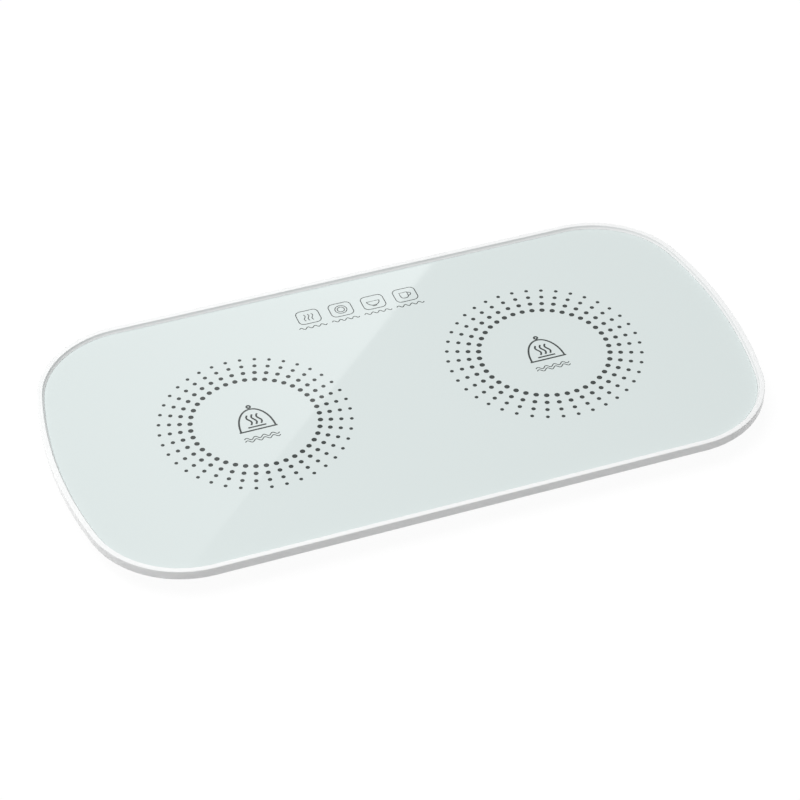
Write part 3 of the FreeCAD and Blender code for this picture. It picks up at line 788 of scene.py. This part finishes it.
class Look(Enum):
    """Every finish on the tray."""

    # Toughened glass with pale celadon enamel on its back: even colour, mirror gloss
    GLASS = BackPrintedGlass(
        "Back-enamelled glass", "#D3DCDB", 0.03, gloss_change=0.008, patch_mm=120.0, shade_change=0.006
    )
    # Dark grey-green enamel behind the same glass, so it has the glass's own gloss
    INK = BackPrintedGlass(
        "Dark enamel print", "#232D2B", 0.03, gloss_change=0.008, patch_mm=30.0, shade_change=0.05
    )
    # White ABS from a polished mould: bright, glossy, faint orange peel
    RIM = MouldedPlastic(
        "Glossy white ABS",
        "#EFF0F0",
        roughness=0.2,
        gloss_change=0.03,
        patch_mm=60.0,
        shade_change=0.01,
        grain_mm=2.2,
        grain_depth_mm=0.0015,
    )
    # The same white ABS from a spark-eroded mould: an even satin grain
    COVER = MouldedPlastic(
        "Satin white ABS",
        "#E6E8E8",
        roughness=0.45,
        patch_mm=70.0,
        grain_mm=0.7,
        grain_depth_mm=0.012,
    )
    # Black polyamide of inlets and switch bodies: slightly rough
    BLACK = MouldedPlastic(
        "Black polyamide",
        "#191A1C",
        roughness=0.42,
        patch_mm=12.0,
        shade_change=0.1,
        grain_mm=0.5,
        grain_depth_mm=0.008,
    )
    # Black polycarbonate rockers from a polished mould: glossy, a little handled
    ROCKER = MouldedPlastic(
        "Glossy polycarbonate",
        "#131416",
        roughness=0.2,
        gloss_change=0.04,
        patch_mm=8.0,
        shade_change=0.1,
        grain_mm=1.0,
        grain_depth_mm=0.001,
    )
    # White pad-printed ink on the rockers: flat and even
    KEY_PRINT = MouldedPlastic(
        "White pad print",
        "#E9EAEA",
        roughness=0.5,
        patch_mm=4.0,
        shade_change=0.03,
        grain_mm=0.3,
        grain_depth_mm=0.002,
    )
    # Phenolic bodies of the thermostats and thermal fuses: dark brown, half glossy
    PHENOLIC = MouldedPlastic(
        "Dark phenolic",
        "#3A2A22",
        roughness=0.36,
        patch_mm=10.0,
        shade_change=0.1,
        grain_mm=0.6,
        grain_depth_mm=0.006,
    )
    # Grey silicone feet: matt and soft
    FEET = Silicone("Grey silicone", "#A9ADAF", 0.62, gloss_change=0.06, patch_mm=9.0, shade_change=0.05)
    # White silicone adhesive bead: dull, a little shiny where it was wiped
    BOND = Silicone("White silicone adhesive", "#E4E4E1", 0.55)
    # Cream silicone wire insulation: smooth and dull
    INSULATION = Silicone("Cream silicone insulation", "#E2DECF", 0.5)
    # Zinc-plated steel of screws, pans and clips: bright grey with dull spots
    ZINC = ZincPlate(
        "Zinc-plated steel", "#C3C5C6", 0.33, gloss_change=0.08, patch_mm=14.0, shade_change=0.08
    )
    # Brass terminals: yellow and bright, lightly handled
    BRASS = RolledMetal("Rolled brass", "#D8B56A", 0.28, gloss_change=0.08, patch_mm=5.0, shade_change=0.08)
    # Mill-finish aluminium sheet: pale grey, a soft shine along its lines
    ALUMINIUM = RolledMetal(
        "Mill aluminium", "#D5D8DA", 0.34, gloss_change=0.06, patch_mm=30.0, shade_change=0.05
    )
    # Iron-chromium resistance foil: dulled and darkened by its first heating
    FOIL = RolledMetal(
        "Oxidised resistance foil", "#8A847C", 0.42, gloss_change=0.08, patch_mm=18.0, shade_change=0.2
    )
    # Pressed mica sheet: brown and silver flakes, pearly
    MICA = Mica("Pressed mica", "#A08B62", 0.38)
    # Ceramic fibre felt: white and fluffy
    FELT = CeramicFelt("Ceramic fibre felt", "#EFEEEA", 0.95)


class Palette:
    """Makes each finish's material once."""

    def __init__(self) -> None:
        """Starts with no materials made."""
        self.made: dict[Look, bpy.types.Material] = {}

    def get(self, look: Look) -> bpy.types.Material:
        """Finds or makes a finish's material.

        Args:
            look: The finish.

        Returns:
            Its material.
        """
        if look not in self.made:
            self.made[look] = look.value.material()
        return self.made[look]


# ---- Outline of the tray --------------------------------------------------------------------------


@dataclass(frozen=True)
class TrayOutline:
    """Straight long sides, bowed ends and round corners, all tangent."""

    half_length: float
    half_width: float
    end_radius: float = 402.0 * MM
    corner_radius: float = 84.2 * MM
    step: float = math.radians(1.5)

    @classmethod
    def of_rim(cls) -> "TrayOutline":
        """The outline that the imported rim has."""
        low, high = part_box("rim_frame")
        return cls((high.x - low.x) / 2, (high.y - low.y) / 2)

    def quarter(self, inset: float) -> Line:
        """Points from the middle of the right end to the start of the back side.

        Args:
            inset: How far the line lies inside the outline.

        Returns:
            Points in order, anticlockwise.
        """
        end_centre = self.half_length - self.end_radius
        corner_y = self.half_width - self.corner_radius
        run = math.sqrt((self.end_radius - self.corner_radius) ** 2 - corner_y**2)
        slope = math.atan2(corner_y, run)
        bow = arc_points((end_centre, 0.0), self.end_radius - inset, 0.0, slope, self.step / 2)
        corner = (end_centre + run, corner_y)
        turn = arc_points(corner, self.corner_radius - inset, slope, math.pi / 2, self.step)
        return bow[:-1] + turn

    def loop(self, inset: float = 0.0) -> Line:
        """The whole line, anticlockwise from the middle of the right end.

        Args:
            inset: How far the line lies inside the outline.

        Returns:
            Its points, without the first one again at the end.
        """
        first = self.quarter(inset)
        second = [(-x, y) for x, y in reversed(first)]
        third = [(-x, -y) for x, y in first[1:]]
        fourth = [(x, -y) for x, y in reversed(first)][:-1]
        return first + second + third + fourth


# ---- Printed pictures, in millimetres about their own middle ---------------------------------------


class Picture(Protocol):
    """A small drawing made of strokes."""

    def lines(self) -> list[Line]:
        """The middle line of each stroke; one that ends where it starts is closed."""


@dataclass(frozen=True)
class Bar:
    """A level line."""

    half_width: float
    y: float

    def lines(self) -> list[Line]:
        """One straight line."""
        return [[(-self.half_width, self.y), (self.half_width, self.y)]]


@dataclass(frozen=True)
class HeatWaves:
    """Rising heat waves side by side."""

    pitch: float
    height: float
    swing: float  # each wave first bends to the left, or to the right where this is negative
    bottom: float
    count: int = 3
    steps: int = 24

    def lines(self) -> list[Line]:
        """One line for each wave.

        Returns:
            The waves, from left to right.
        """
        rises = [step / self.steps for step in range(self.steps + 1)]
        wave = [(-self.swing * math.sin(math.tau * rise), self.bottom + self.height * rise) for rise in rises]
        places = [(index - (self.count - 1) / 2) * self.pitch for index in range(self.count)]
        return [[(place + x, y) for x, y in wave] for place in places]


@dataclass(frozen=True)
class Ripple:
    """A fine wavy line from side to side."""

    width: float
    swing: float
    y: float
    periods: int = 4
    steps_per_period: int = 16

    def lines(self) -> list[Line]:
        """One wavy line.

        Returns:
            The line, from left to right.
        """
        steps = self.steps_per_period * self.periods
        shares = [step / steps for step in range(steps + 1)]
        heights = [self.y + self.swing * math.sin(math.tau * self.periods * share) for share in shares]
        return [[((share - 0.5) * self.width, y) for share, y in zip(shares, heights)]]


@dataclass(frozen=True)
class DishCover:
    """A domed cover on its base line, with a knob on top; the strokes touch and don't overlap."""

    width: float = 32.5
    height: float = 30.4
    base: float = -9.2
    foot_inset: float = 1.5  # from each end of the base line to the dome
    knob_radius: float = 1.5
    stroke: float = 1.6

    def lines(self) -> list[Line]:
        """The dome, the base line and the knob.

        Returns:
            Two open lines and a closed one.
        """
        half_stroke = self.stroke / 2
        knob_y = self.base + self.height - self.knob_radius
        dome_height = knob_y - self.knob_radius - 3 * half_stroke - self.base
        dome_radii = (self.width / 2 - self.foot_inset, dome_height)
        dome = ellipse((0.0, self.base + half_stroke), dome_radii, 180.0, 0.0)
        knob = ellipse((0.0, knob_y), (self.knob_radius, self.knob_radius), -90.0, 270.0)
        return [dome, *Bar(self.width / 2, self.base).lines(), closed(knob[:-1])]


@dataclass(frozen=True)
class Tile:
    """A frame with round corners, standing on y = 0."""

    width: float = 20.0
    height: float = 17.5
    radius: float = 4.5

    def lines(self) -> list[Line]:
        """The frame.

        Returns:
            One closed line.
        """
        x, top = self.width / 2 - self.radius, self.height - self.radius
        starts = {(x, top): 0, (-x, top): 90, (-x, self.radius): 180, (x, self.radius): 270}
        line: Line = []
        for centre, start in starts.items():
            line += ellipse(centre, (self.radius, self.radius), start, start + 90)
        return [closed(line)]


@dataclass(frozen=True)
class Plate:
    """A plate from above."""

    middle: Point = (0.0, 8.75)
    radii: Point = (5.2, 3.1)

    def lines(self) -> list[Line]:
        """The plate's edge and its well."""
        rings = [ellipse(self.middle, (radius, radius), 0.0, 360.0) for radius in self.radii]
        return [closed(ring[:-1]) for ring in rings]


@dataclass(frozen=True)
class Bowl:
    """A bowl on its foot."""

    rim_y: float = 10.2
    radius: float = 5.6
    foot: Bar = Bar(2.2, 3.7)

    def lines(self) -> list[Line]:
        """The bowl and its foot."""
        body = ellipse((0.0, self.rim_y), (self.radius, self.radius), 180.0, 360.0)
        return [closed(body), *self.foot.lines()]


@dataclass(frozen=True)
class Cup:
    """A cup with its handle."""

    left: float = -4.6
    right: float = 2.4
    top: float = 12.2
    bottom: float = 4.5
    corner_radii: Point = (3.0, 2.9)
    handle_y: float = 9.2
    handle_radii: Point = (2.3, 2.1)
    stroke: float = 0.82

    def lines(self) -> list[Line]:
        """The cup and its handle.

        Returns:
            A closed line and an open one, whose strokes touch.
        """
        across, up = self.corner_radii
        low = self.bottom + up
        left = ellipse((self.left + across, low), self.corner_radii, 180.0, 270.0)
        right = ellipse((self.right - across, low), self.corner_radii, -90.0, 0.0)
        body = [(self.left, self.top), *left, *right, (self.right, self.top)]
        handle = ellipse((self.right + self.stroke / 2, self.handle_y), self.handle_radii, 90.0, -90.0)
        return [closed(body), handle]


# ---- Sub-assemblies -------------------------------------------------------------------------------


class SubAssembly(Protocol):
    """A part of the tray that builds and dresses its own pieces."""

    def build(self) -> None:
        """Builds, dresses and hands over every piece."""


@dataclass
class Rim:
    """Glossy moulded rim with its glass pocket and ledge."""

    outline: TrayOutline
    palette: Palette
    height: float = 8.7 * MM
    top_width: float = 4.2 * MM
    inner_lean: float = 1.5 * MM
    inner_bend: Point = (0.5 * MM, 1.2 * MM)  # bend in the leaning wall: in from its top, up from the glass
    bend_round: float = 1.5 * MM
    skirt: float = 3.0 * MM
    ledge_thick: float = 1.5 * MM
    ledge_inset: float = 28.2 * MM
    edge_round: float = 0.6 * MM
    inner_round: float = 0.3 * MM
    lower_round: float = 1.1 * MM

    def build(self) -> None:
        """Sweeps the rim's section round the outline."""
        glass_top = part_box("glass_panel")[1].z
        ledge_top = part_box("glass_bond")[0].z
        ledge_bottom = ledge_top - self.ledge_thick
        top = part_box("rim_frame")[1].z
        bottom = top - self.height
        bend_in, bend_up = self.inner_bend
        pocket = self.top_width + self.inner_lean
        corners = [
            Corner(0.0, bottom, self.lower_round),
            Corner(0.0, top, self.edge_round),
            Corner(self.top_width, top, self.inner_round),
            Corner(self.top_width + bend_in, glass_top + bend_up, self.bend_round),
            Corner(pocket, glass_top),
            Corner(pocket, ledge_top),
            Corner(self.ledge_inset, ledge_top),
            Corner(self.ledge_inset, ledge_bottom),
            Corner(self.skirt, ledge_bottom),
            Corner(self.skirt, bottom),
        ]
        section = closed_line("rim_section", rounded_profile(corners))
        rim = closed_line("rim", self.outline.loop())
        sweep_recipe().run(rim, Section=section, Material=self.palette.get(Look.RIM))
        bpy.data.objects.remove(section)
        settle(smooth(rim), Body.TRAY, Slot.WHITE, "rim_frame")


@dataclass(frozen=True)
class Target:
    """Where one zone's rings of dots lie, and how large and how far turned they are."""

    centre: Point
    scale: float
    first_angle: float


@dataclass
class GlassTop:
    """Glass panel with its printed targets and small marks."""

    outline: TrayOutline
    palette: Palette
    inset: float = 5.75 * MM
    edge_break: float = 0.3 * MM
    print_thickness: float = 0.03 * MM
    rings: int = 4
    dots_per_ring: int = 40
    inner_ring_radius: float = 54.7 * MM
    ring_pitch: float = 8.8 * MM
    inner_dot_radius: float = 2.32 * MM
    dot_shrink: float = 0.23 * MM
    dot_sides: int = 20
    targets: dict[Side, Target] = field(
        default_factory=lambda: {
            Side.LEFT: Target((-128.3 * MM, -0.6 * MM), 0.98, math.radians(1.1)),
            Side.RIGHT: Target((129.1 * MM, 0.5 * MM), 1.02, math.radians(-2.3)),
        }
    )

    def build(self) -> None:
        """Makes the panel, the rings of dots and the marks."""
        low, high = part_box("glass_panel")
        loops = [self.outline.loop(self.inset + extra) for extra in (0.0, 0.0, self.edge_break)]
        panel = stacked_slab("glass", loops, (low.z, high.z - self.edge_break, high.z))
        dress(smooth(panel), self.palette.get(Look.GLASS))
        settle(panel, Body.TRAY, Slot.GLASS, "glass_panel")
        level = high.z + self.print_thickness / 3  # so the print reaches a little into the glass
        recipe = dot_rings_recipe()
        for side, target in self.targets.items():
            self.dots(side, target, level, recipe)
        marks = Marks(self.palette, level, self.print_thickness)
        marks.build({side: target.centre for side, target in self.targets.items()})

    def dots(self, side: Side, target: Target, level: float, recipe: NodeRecipe) -> None:
        """Makes one zone's target of dots.

        Args:
            side: Which zone.
            target: Where its dots lie.
            level: Height of the middle of the print.
            recipe: The recipe for rings of dots.
        """
        rings = mesh_object(f"zone_dots_{side.value}", [(0, 0, 0)], [])
        recipe.run(
            rings,
            Rings=self.rings,
            Dots_Per_Ring=self.dots_per_ring,
            Inner_Ring_Radius=target.scale * self.inner_ring_radius,
            Ring_Pitch=target.scale * self.ring_pitch,
            Inner_Dot_Radius=target.scale * self.inner_dot_radius,
            Dot_Shrink=target.scale * self.dot_shrink,
            First_Angle=target.first_angle,
            Print_Thickness=self.print_thickness,
            Dot_Sides=self.dot_sides,
            Centre=(*target.centre, level),
            Material=self.palette.get(Look.INK),
        )
        settle(rings, Body.TRAY, Slot.GLASS)


@dataclass
class Marks:
    """Generic printed pictures: waves under a dish cover at each zone, and four small ones at the back."""

    palette: Palette
    level: float
    print_thickness: float
    zone_stroke: float = DishCover.stroke * MM
    row_stroke: float = Cup.stroke * MM
    line_stroke: float = 0.85 * MM
    row_pitch: float = 29.6 * MM
    row_y: float = 104.5 * MM
    zone_pictures: tuple[Picture, ...] = (
        DishCover(),
        HeatWaves(pitch=4.3, height=12.6, swing=-1.4, bottom=-2.8),
        Bar(half_width=7.8, y=-5.4),
    )
    zone_ripples: tuple[Picture, ...] = (
        Ripple(width=30.0, swing=1.4, y=-18.3),
        Ripple(width=30.0, swing=1.4, y=-21.4),
    )
    row_frame: Picture = Tile()
    row_pictures: tuple[tuple[str, Picture], ...] = (
        ("waves", HeatWaves(pitch=3.4, height=8.6, swing=0.9, bottom=4.0)),
        ("plate", Plate()),
        ("bowl", Bowl()),
        ("cup", Cup()),
    )
    row_ripple: Picture = Ripple(width=25.0, swing=1.2, y=-5.2)
    recipe: NodeRecipe = field(default_factory=stroke_recipe)

    def build(self, zones: dict[Side, Point]) -> None:
        """Draws the zone marks and the row at the back.

        Args:
            zones: The middle of each zone.
        """
        for side, centre in zones.items():
            self.draw(f"zone_mark_{side.value}", self.zone_pictures, centre, self.zone_stroke)
            self.draw(f"zone_ripples_{side.value}", self.zone_ripples, centre, self.line_stroke)
        for index, (name, picture) in enumerate(self.row_pictures):
            centre = ((index - (len(self.row_pictures) - 1) / 2) * self.row_pitch, self.row_y)
            self.draw(f"row_mark_{name}", (self.row_frame, picture), centre, self.row_stroke)
            self.draw(f"row_ripple_{name}", (self.row_ripple,), centre, self.line_stroke)

    def draw(self, name: str, pictures: Iterable[Picture], centre: Point, stroke: float) -> None:
        """Prints pictures as one piece.

        Args:
            name: The piece's name.
            pictures: What to draw.
            centre: Where their middle lies on the tray.
            stroke: Width of the strokes.
        """
        x0, y0 = centre
        lines = [line for picture in pictures for line in picture.lines()]
        placed = [[(x0 + x * MM, y0 + y * MM, self.level) for x, y in line] for line in lines]
        mark = line_object(name, placed)
        ink = self.palette.get(Look.INK)
        self.recipe.run(mark, Stroke_Width=stroke, Print_Thickness=self.print_thickness, Material=ink)
        settle(smooth(mark), Body.TRAY, Slot.GLASS)


@dataclass
class BottomCover:
    """Satin cover below the rim, with its feet and screws."""

    palette: Palette
    foot_radius: float = 10.0 * MM
    foot_round: float = 0.9 * MM
    foot_sides: int = 48
    groove_radius: float = 6.2 * MM  # ring-shaped groove in the foot's sole
    groove_half_width: float = 1.0 * MM
    groove_depth: float = 0.5 * MM
    seed: int = 3  # for how each foot is turned

    def build(self) -> None:
        """Dresses the cover and the screws, and makes the feet."""
        satin = self.palette.get(Look.COVER)
        dressed_copy("bottom_cover", "cover", satin, Body.TRAY, Slot.WHITE_SATIN)
        self.feet()
        dressed_copy("cover_screws", "screws", self.palette.get(Look.ZINC), Body.TRAY, Slot.STEEL)

    def feet(self) -> None:
        """Turned silicone pads at the four corners."""
        low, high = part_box("feet")
        groove = [
            (self.groove_radius - self.groove_half_width, 0.0),
            (self.groove_radius, self.groove_depth),
            (self.groove_radius + self.groove_half_width, 0.0),
        ]
        centre = (self.foot_radius - self.foot_round, self.foot_round)
        rounded = arc_points(centre, self.foot_round, -math.pi / 2, 0.0, ROUNDING_STEP)
        section = groove + rounded + [(self.foot_radius, high.z)]
        foot = turned("foot_pads", section, self.foot_sides)
        corner_grid_recipe().run(
            foot,
            Span_X=high.x - low.x - 2 * self.foot_radius,
            Span_Y=high.y - low.y - 2 * self.foot_radius,
            Random_Turn=math.tau,
            Seed=self.seed,
            Material=self.palette.get(Look.FEET),
        )
        settle(smooth(foot), Body.TRAY, Slot.SILICONE, "feet")


@dataclass
class Console:
    """Power inlet and one rocker switch for each zone, at the back of the cover."""

    palette: Palette
    key_turn: float = math.radians(11)
    key_half_width: float = 7.8 * MM
    key_dish: float = 1.3 * MM
    key_face_y: float = 142.3 * MM
    pivot_y: float = 139.0 * MM
    mark_offset: float = 3.3 * MM
    mark_radius: float = 1.2 * MM
    mark_stroke: float = 0.42 * MM
    print_thickness: float = 0.04 * MM

    def build(self) -> None:
        """Dresses the inlet and switches, and prints the marks on the rockers."""
        black = self.palette.get(Look.BLACK)
        dressed_copy("power_inlet", "inlet_body", black, Body.TRAY, Slot.BLACK)
        dressed_copy("inlet_pins", "contact_pins", self.palette.get(Look.BRASS), Body.TRAY, Slot.BRASS)
        recipe = stroke_recipe()
        for side in Side:
            where = side.value
            dressed_copy(f"switch_housing_{where}", f"switch_body_{where}", black, Body.TRAY, Slot.BLACK)
            gloss = self.palette.get(Look.ROCKER)
            dressed_copy(f"rocker_key_{where}", f"rocker_{where}_cap", gloss, side.rocker, Slot.BLACK_GLOSS)
            self.key_marks(side, recipe)

    def key_marks(self, side: Side, recipe: NodeRecipe) -> None:
        """Prints I on the half of the rocker that switches on, and O on the other half.

        Args:
            side: Which rocker.
            recipe: The recipe for printed strokes.
        """
        bar = [(0.0, -self.mark_radius), (0.0, self.mark_radius)]
        ring = closed(arc_points((0.0, 0.0), self.mark_radius, 0.0, math.tau, ROUNDING_STEP)[:-1])
        for name, line, offset in (("on", bar, -self.mark_offset), ("off", ring, self.mark_offset)):
            centre = side.sign * offset
            mark = line_object(f"key_{name}_{side.value}", [[(centre + x, y, 0.0) for x, y in line]])
            recipe.run(
                mark,
                Stroke_Width=self.mark_stroke,
                Print_Thickness=self.print_thickness,
                Material=self.palette.get(Look.KEY_PRINT),
            )
            for vertex in mark.data.vertices:
                vertex.co = self.on_key(side, vertex.co)
            settle(smooth(mark), side.rocker, Slot.WHITE_SATIN)

    def on_key(self, side: Side, flat: Vector) -> Vector:
        """Lays a point of a flat drawing on the rocker's dished face.

        Args:
            side: Which rocker.
            flat: Place on the drawing as seen from behind the tray, and height above the face.

        Returns:
            The place on the tray.
        """
        low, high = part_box(f"rocker_key_{side.value}")
        dish_radius = (self.key_half_width**2 + self.key_dish**2) / (2 * self.key_dish)
        face = self.key_face_y + dish_radius - math.sqrt(dish_radius**2 - flat.x**2)
        spoke = Vector((-flat.x, face + flat.z - self.pivot_y, flat.y))
        turn = Matrix.Rotation(side.sign * self.key_turn, 3, "Z")
        housing_low, housing_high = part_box(f"switch_housing_{side.value}")
        pivot = Vector(((housing_low.x + housing_high.x) / 2, self.pivot_y, (low.z + high.z) / 2))
        return pivot + turn @ spoke


@dataclass
class Insides:
    """Heater stacks, sensors and wiring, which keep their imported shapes."""

    palette: Palette
    zone_looks: dict[str, Look] = field(
        default_factory=lambda: {
            "heat_spreader": Look.ALUMINIUM,
            "mica_cover": Look.MICA,
            "mica_board": Look.MICA,
            "heating_track": Look.FOIL,
            "felt_pad": Look.FELT,
            "felt_pan": Look.ZINC,
            "thermostat": Look.PHENOLIC,
            "thermal_fuse": Look.PHENOLIC,
            "sensor_clip": Look.ZINC,
            "sensor_link": Look.BRASS,
            "switch_tabs": Look.BRASS,
            "switched_lead": Look.INSULATION,
            "element_lead": Look.INSULATION,
            "neutral_lead": Look.INSULATION,
        }
    )
    shared_looks: dict[str, Look] = field(
        default_factory=lambda: {"feed_leads": Look.INSULATION, "glass_bond": Look.BOND}
    )

    def build(self) -> None:
        """Gives each inner node its material."""
        looks = {f"{name}_{side.value}": look for name, look in self.zone_looks.items() for side in Side}
        looks.update(self.shared_looks)
        for name, look in looks.items():
            dress(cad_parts[name], self.palette.get(look))
            log.info("%s: dressed as %s", name, look.value.name)


# ---- Studio ---------------------------------------------------------------------------------------


@dataclass
class Camera:
    """A long lens, looking down at the tray from its front left."""

    azimuth: float = math.radians(-19.965)
    elevation: float = math.radians(41.042)
    distance: float = 2.15174
    focal_length_mm: float = 115.935
    sensor_mm: float = 36.0
    shift_x: float = -0.00199
    shift_y: float = -0.02037
    clip_end: float = 50.0

    def build(self, target: Vector) -> None:
        """Places the camera.

        Args:
            target: What it looks at.
        """
        data = bpy.data.cameras.new("camera")
        data.lens = self.focal_length_mm
        data.sensor_width = self.sensor_mm
        data.sensor_fit = "HORIZONTAL"
        data.shift_x = self.shift_x
        data.shift_y = self.shift_y
        data.clip_end = self.clip_end
        camera = bpy.data.objects.new("camera", data)
        bpy.context.scene.collection.objects.link(camera)
        level = math.cos(self.elevation)
        back = Vector(
            (math.sin(self.azimuth) * level, -math.cos(self.azimuth) * level, math.sin(self.elevation))
        )
        camera.location = target + back * self.distance
        camera.rotation_euler = back.to_track_quat("Z", "Y").to_euler()
        bpy.context.scene.camera = camera


@dataclass(frozen=True)
class SoftLight:
    """A square area light, aimed at the middle of the floor unless it has an aim of its own."""

    name: str
    power: float
    size: float
    place: Point3
    aim: Point3 = (0.0, 0.0, 0.0)


@dataclass
class Studio:
    """Pale floor, even sky, soft light above, card at the left, and a soft box that the glass mirrors."""

    ambient: float = 0.32
    lights: tuple[SoftLight, ...] = (
        SoftLight("overhead", 196.0, 3.0, (-1.4, 0.45, 4.5)),
        SoftLight("bounce card", 0.78, 0.55, (-0.6, 0.2, 0.002), (-0.6, 0.2, 1.0)),
    )
    soft_box_height: float = 1.0
    soft_box_corners: tuple[Point, ...] = ((-0.15, 0.668), (0.542, 1.32), (-0.6, 1.32), (-0.6, 0.668))
    glow_from: Point = (-0.13, 1.12)  # place along X, and brightness there
    glow_rise: float = 2.0  # rise in brightness for each metre along X
    floor_size: float = 12.0
    floor_colour: str = "#D9D9D9"
    floor_lift: float = 0.945  # brightness of the seen floor before its own light and shadow
    floor_share: float = 0.065  # how much of its own light and shadow shows

    def build(self) -> None:
        """Sets up the world, lights and floor."""
        bpy.context.scene.view_settings.view_transform = "Standard"
        self.world()
        for light in self.lights:
            self.soft_light(light)
        self.soft_box()
        self.floor()

    def seen(self, tree: bpy.types.NodeTree) -> bpy.types.Node:
        """Tells the rays that see the studio from those that only light the tray.

        Args:
            tree: The node tree of the world or of a material.

        Returns:
            A node that gives 1 for camera rays and for rays that a reflection or glass sends on, and
            0 for light.
        """
        path = add_node(tree, "ShaderNodeLightPath")
        feeds = {0: path.outputs["Is Camera Ray"], 1: path.outputs["Is Glossy Ray"]}
        either = add_node(tree, "ShaderNodeMath", feeds, operation="MAXIMUM")
        feeds = {0: either, 1: path.outputs["Is Transmission Ray"]}
        return add_node(tree, "ShaderNodeMath", feeds, operation="MAXIMUM")

    def world(self) -> None:
        """White to the camera and in reflections, dimmer as a light."""
        world = bpy.data.worlds.new("studio")
        bpy.context.scene.world = world
        world.use_nodes = True
        tree = world.node_tree
        tree.nodes.clear()
        feeds = {"Value": self.seen(tree), "To Min": self.ambient, "To Max": 1.0}
        strength = add_node(tree, "ShaderNodeMapRange", feeds)
        feeds = {"Color": (1.0, 1.0, 1.0, 1.0), "Strength": strength}
        sky = add_node(tree, "ShaderNodeBackground", feeds)
        add_node(tree, "ShaderNodeOutputWorld", {"Surface": sky})

    def soft_light(self, light: SoftLight) -> None:
        """Adds one area light, which neither the camera nor a reflection sees.

        Args:
            light: Its size, power and place.
        """
        data = bpy.data.lights.new(light.name, "AREA")
        data.shape = "SQUARE"
        data.size = light.size
        data.energy = light.power
        lamp = bpy.data.objects.new(light.name, data)
        bpy.context.scene.collection.objects.link(lamp)
        lamp.location = light.place
        lamp.rotation_euler = (lamp.location - Vector(light.aim)).to_track_quat("Z", "Y").to_euler()
        lamp.visible_camera = False
        lamp.visible_glossy = False

    def soft_box(self) -> None:
        """A large diffuser above and behind, brighter to the right, seen only in reflections."""
        corners = [(x, y, self.soft_box_height) for x, y in self.soft_box_corners]
        box = mesh_object("soft_box", corners, [range(len(corners))])
        material = blank_material("Diffuser")
        tree = material.node_tree
        place = add_node(tree, "ShaderNodeTexCoord").outputs["Object"]
        along_x = add_node(tree, "ShaderNodeSeparateXYZ", {0: place})
        low_x, low_glow = self.glow_from
        feeds = {
            "Value": along_x,
            "From Min": low_x,
            "From Max": low_x + 1.0,
            "To Min": low_glow,
            "To Max": low_glow + self.glow_rise,
        }
        strength = add_node(tree, "ShaderNodeMapRange", feeds)
        glow = add_node(tree, "ShaderNodeEmission", {"Strength": strength})
        add_node(tree, "ShaderNodeOutputMaterial", {"Surface": glow})
        dress(box, material)
        box.visible_camera = False
        box.visible_diffuse = False
        box.visible_shadow = False

    def floor(self) -> None:
        """A plain pale floor that keeps a light shadow of the tray."""
        half = self.floor_size / 2
        corners = [(-half, -half, 0.0), (half, -half, 0.0), (half, half, 0.0), (-half, half, 0.0)]
        floor = mesh_object("floor", corners, [range(len(corners))])
        material = blank_material("Pale floor")
        tree = material.node_tree
        paint = add_node(tree, "ShaderNodeBsdfDiffuse", {"Color": linear(self.floor_colour)})
        shadow = add_node(tree, "ShaderNodeBsdfDiffuse", {"Color": (self.floor_share,) * 3 + (1.0,)})
        lift = add_node(tree, "ShaderNodeEmission", {"Strength": self.floor_lift})
        lifted = add_node(tree, "ShaderNodeAddShader", {0: shadow, 1: lift})
        mixed = add_node(tree, "ShaderNodeMixShader", {0: self.seen(tree), 1: paint, 2: lifted})
        add_node(tree, "ShaderNodeOutputMaterial", {"Surface": mixed})
        dress(floor, material)


def main() -> None:
    """Builds the studio and every sub-assembly."""
    logging.basicConfig(level=logging.INFO, format="%(name)s: %(message)s")
    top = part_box("rim_frame")[1].z
    Camera().build(Vector((0.0, 0.0, top)))
    Studio().build()
    palette = Palette()
    outline = TrayOutline.of_rim()
    parts: list[SubAssembly] = [
        Rim(outline, palette),
        GlassTop(outline, palette),
        BottomCover(palette),
        Console(palette),
        Insides(palette),
    ]
    for part in parts:
        part.build()


if __name__ == "__main__":
    main()
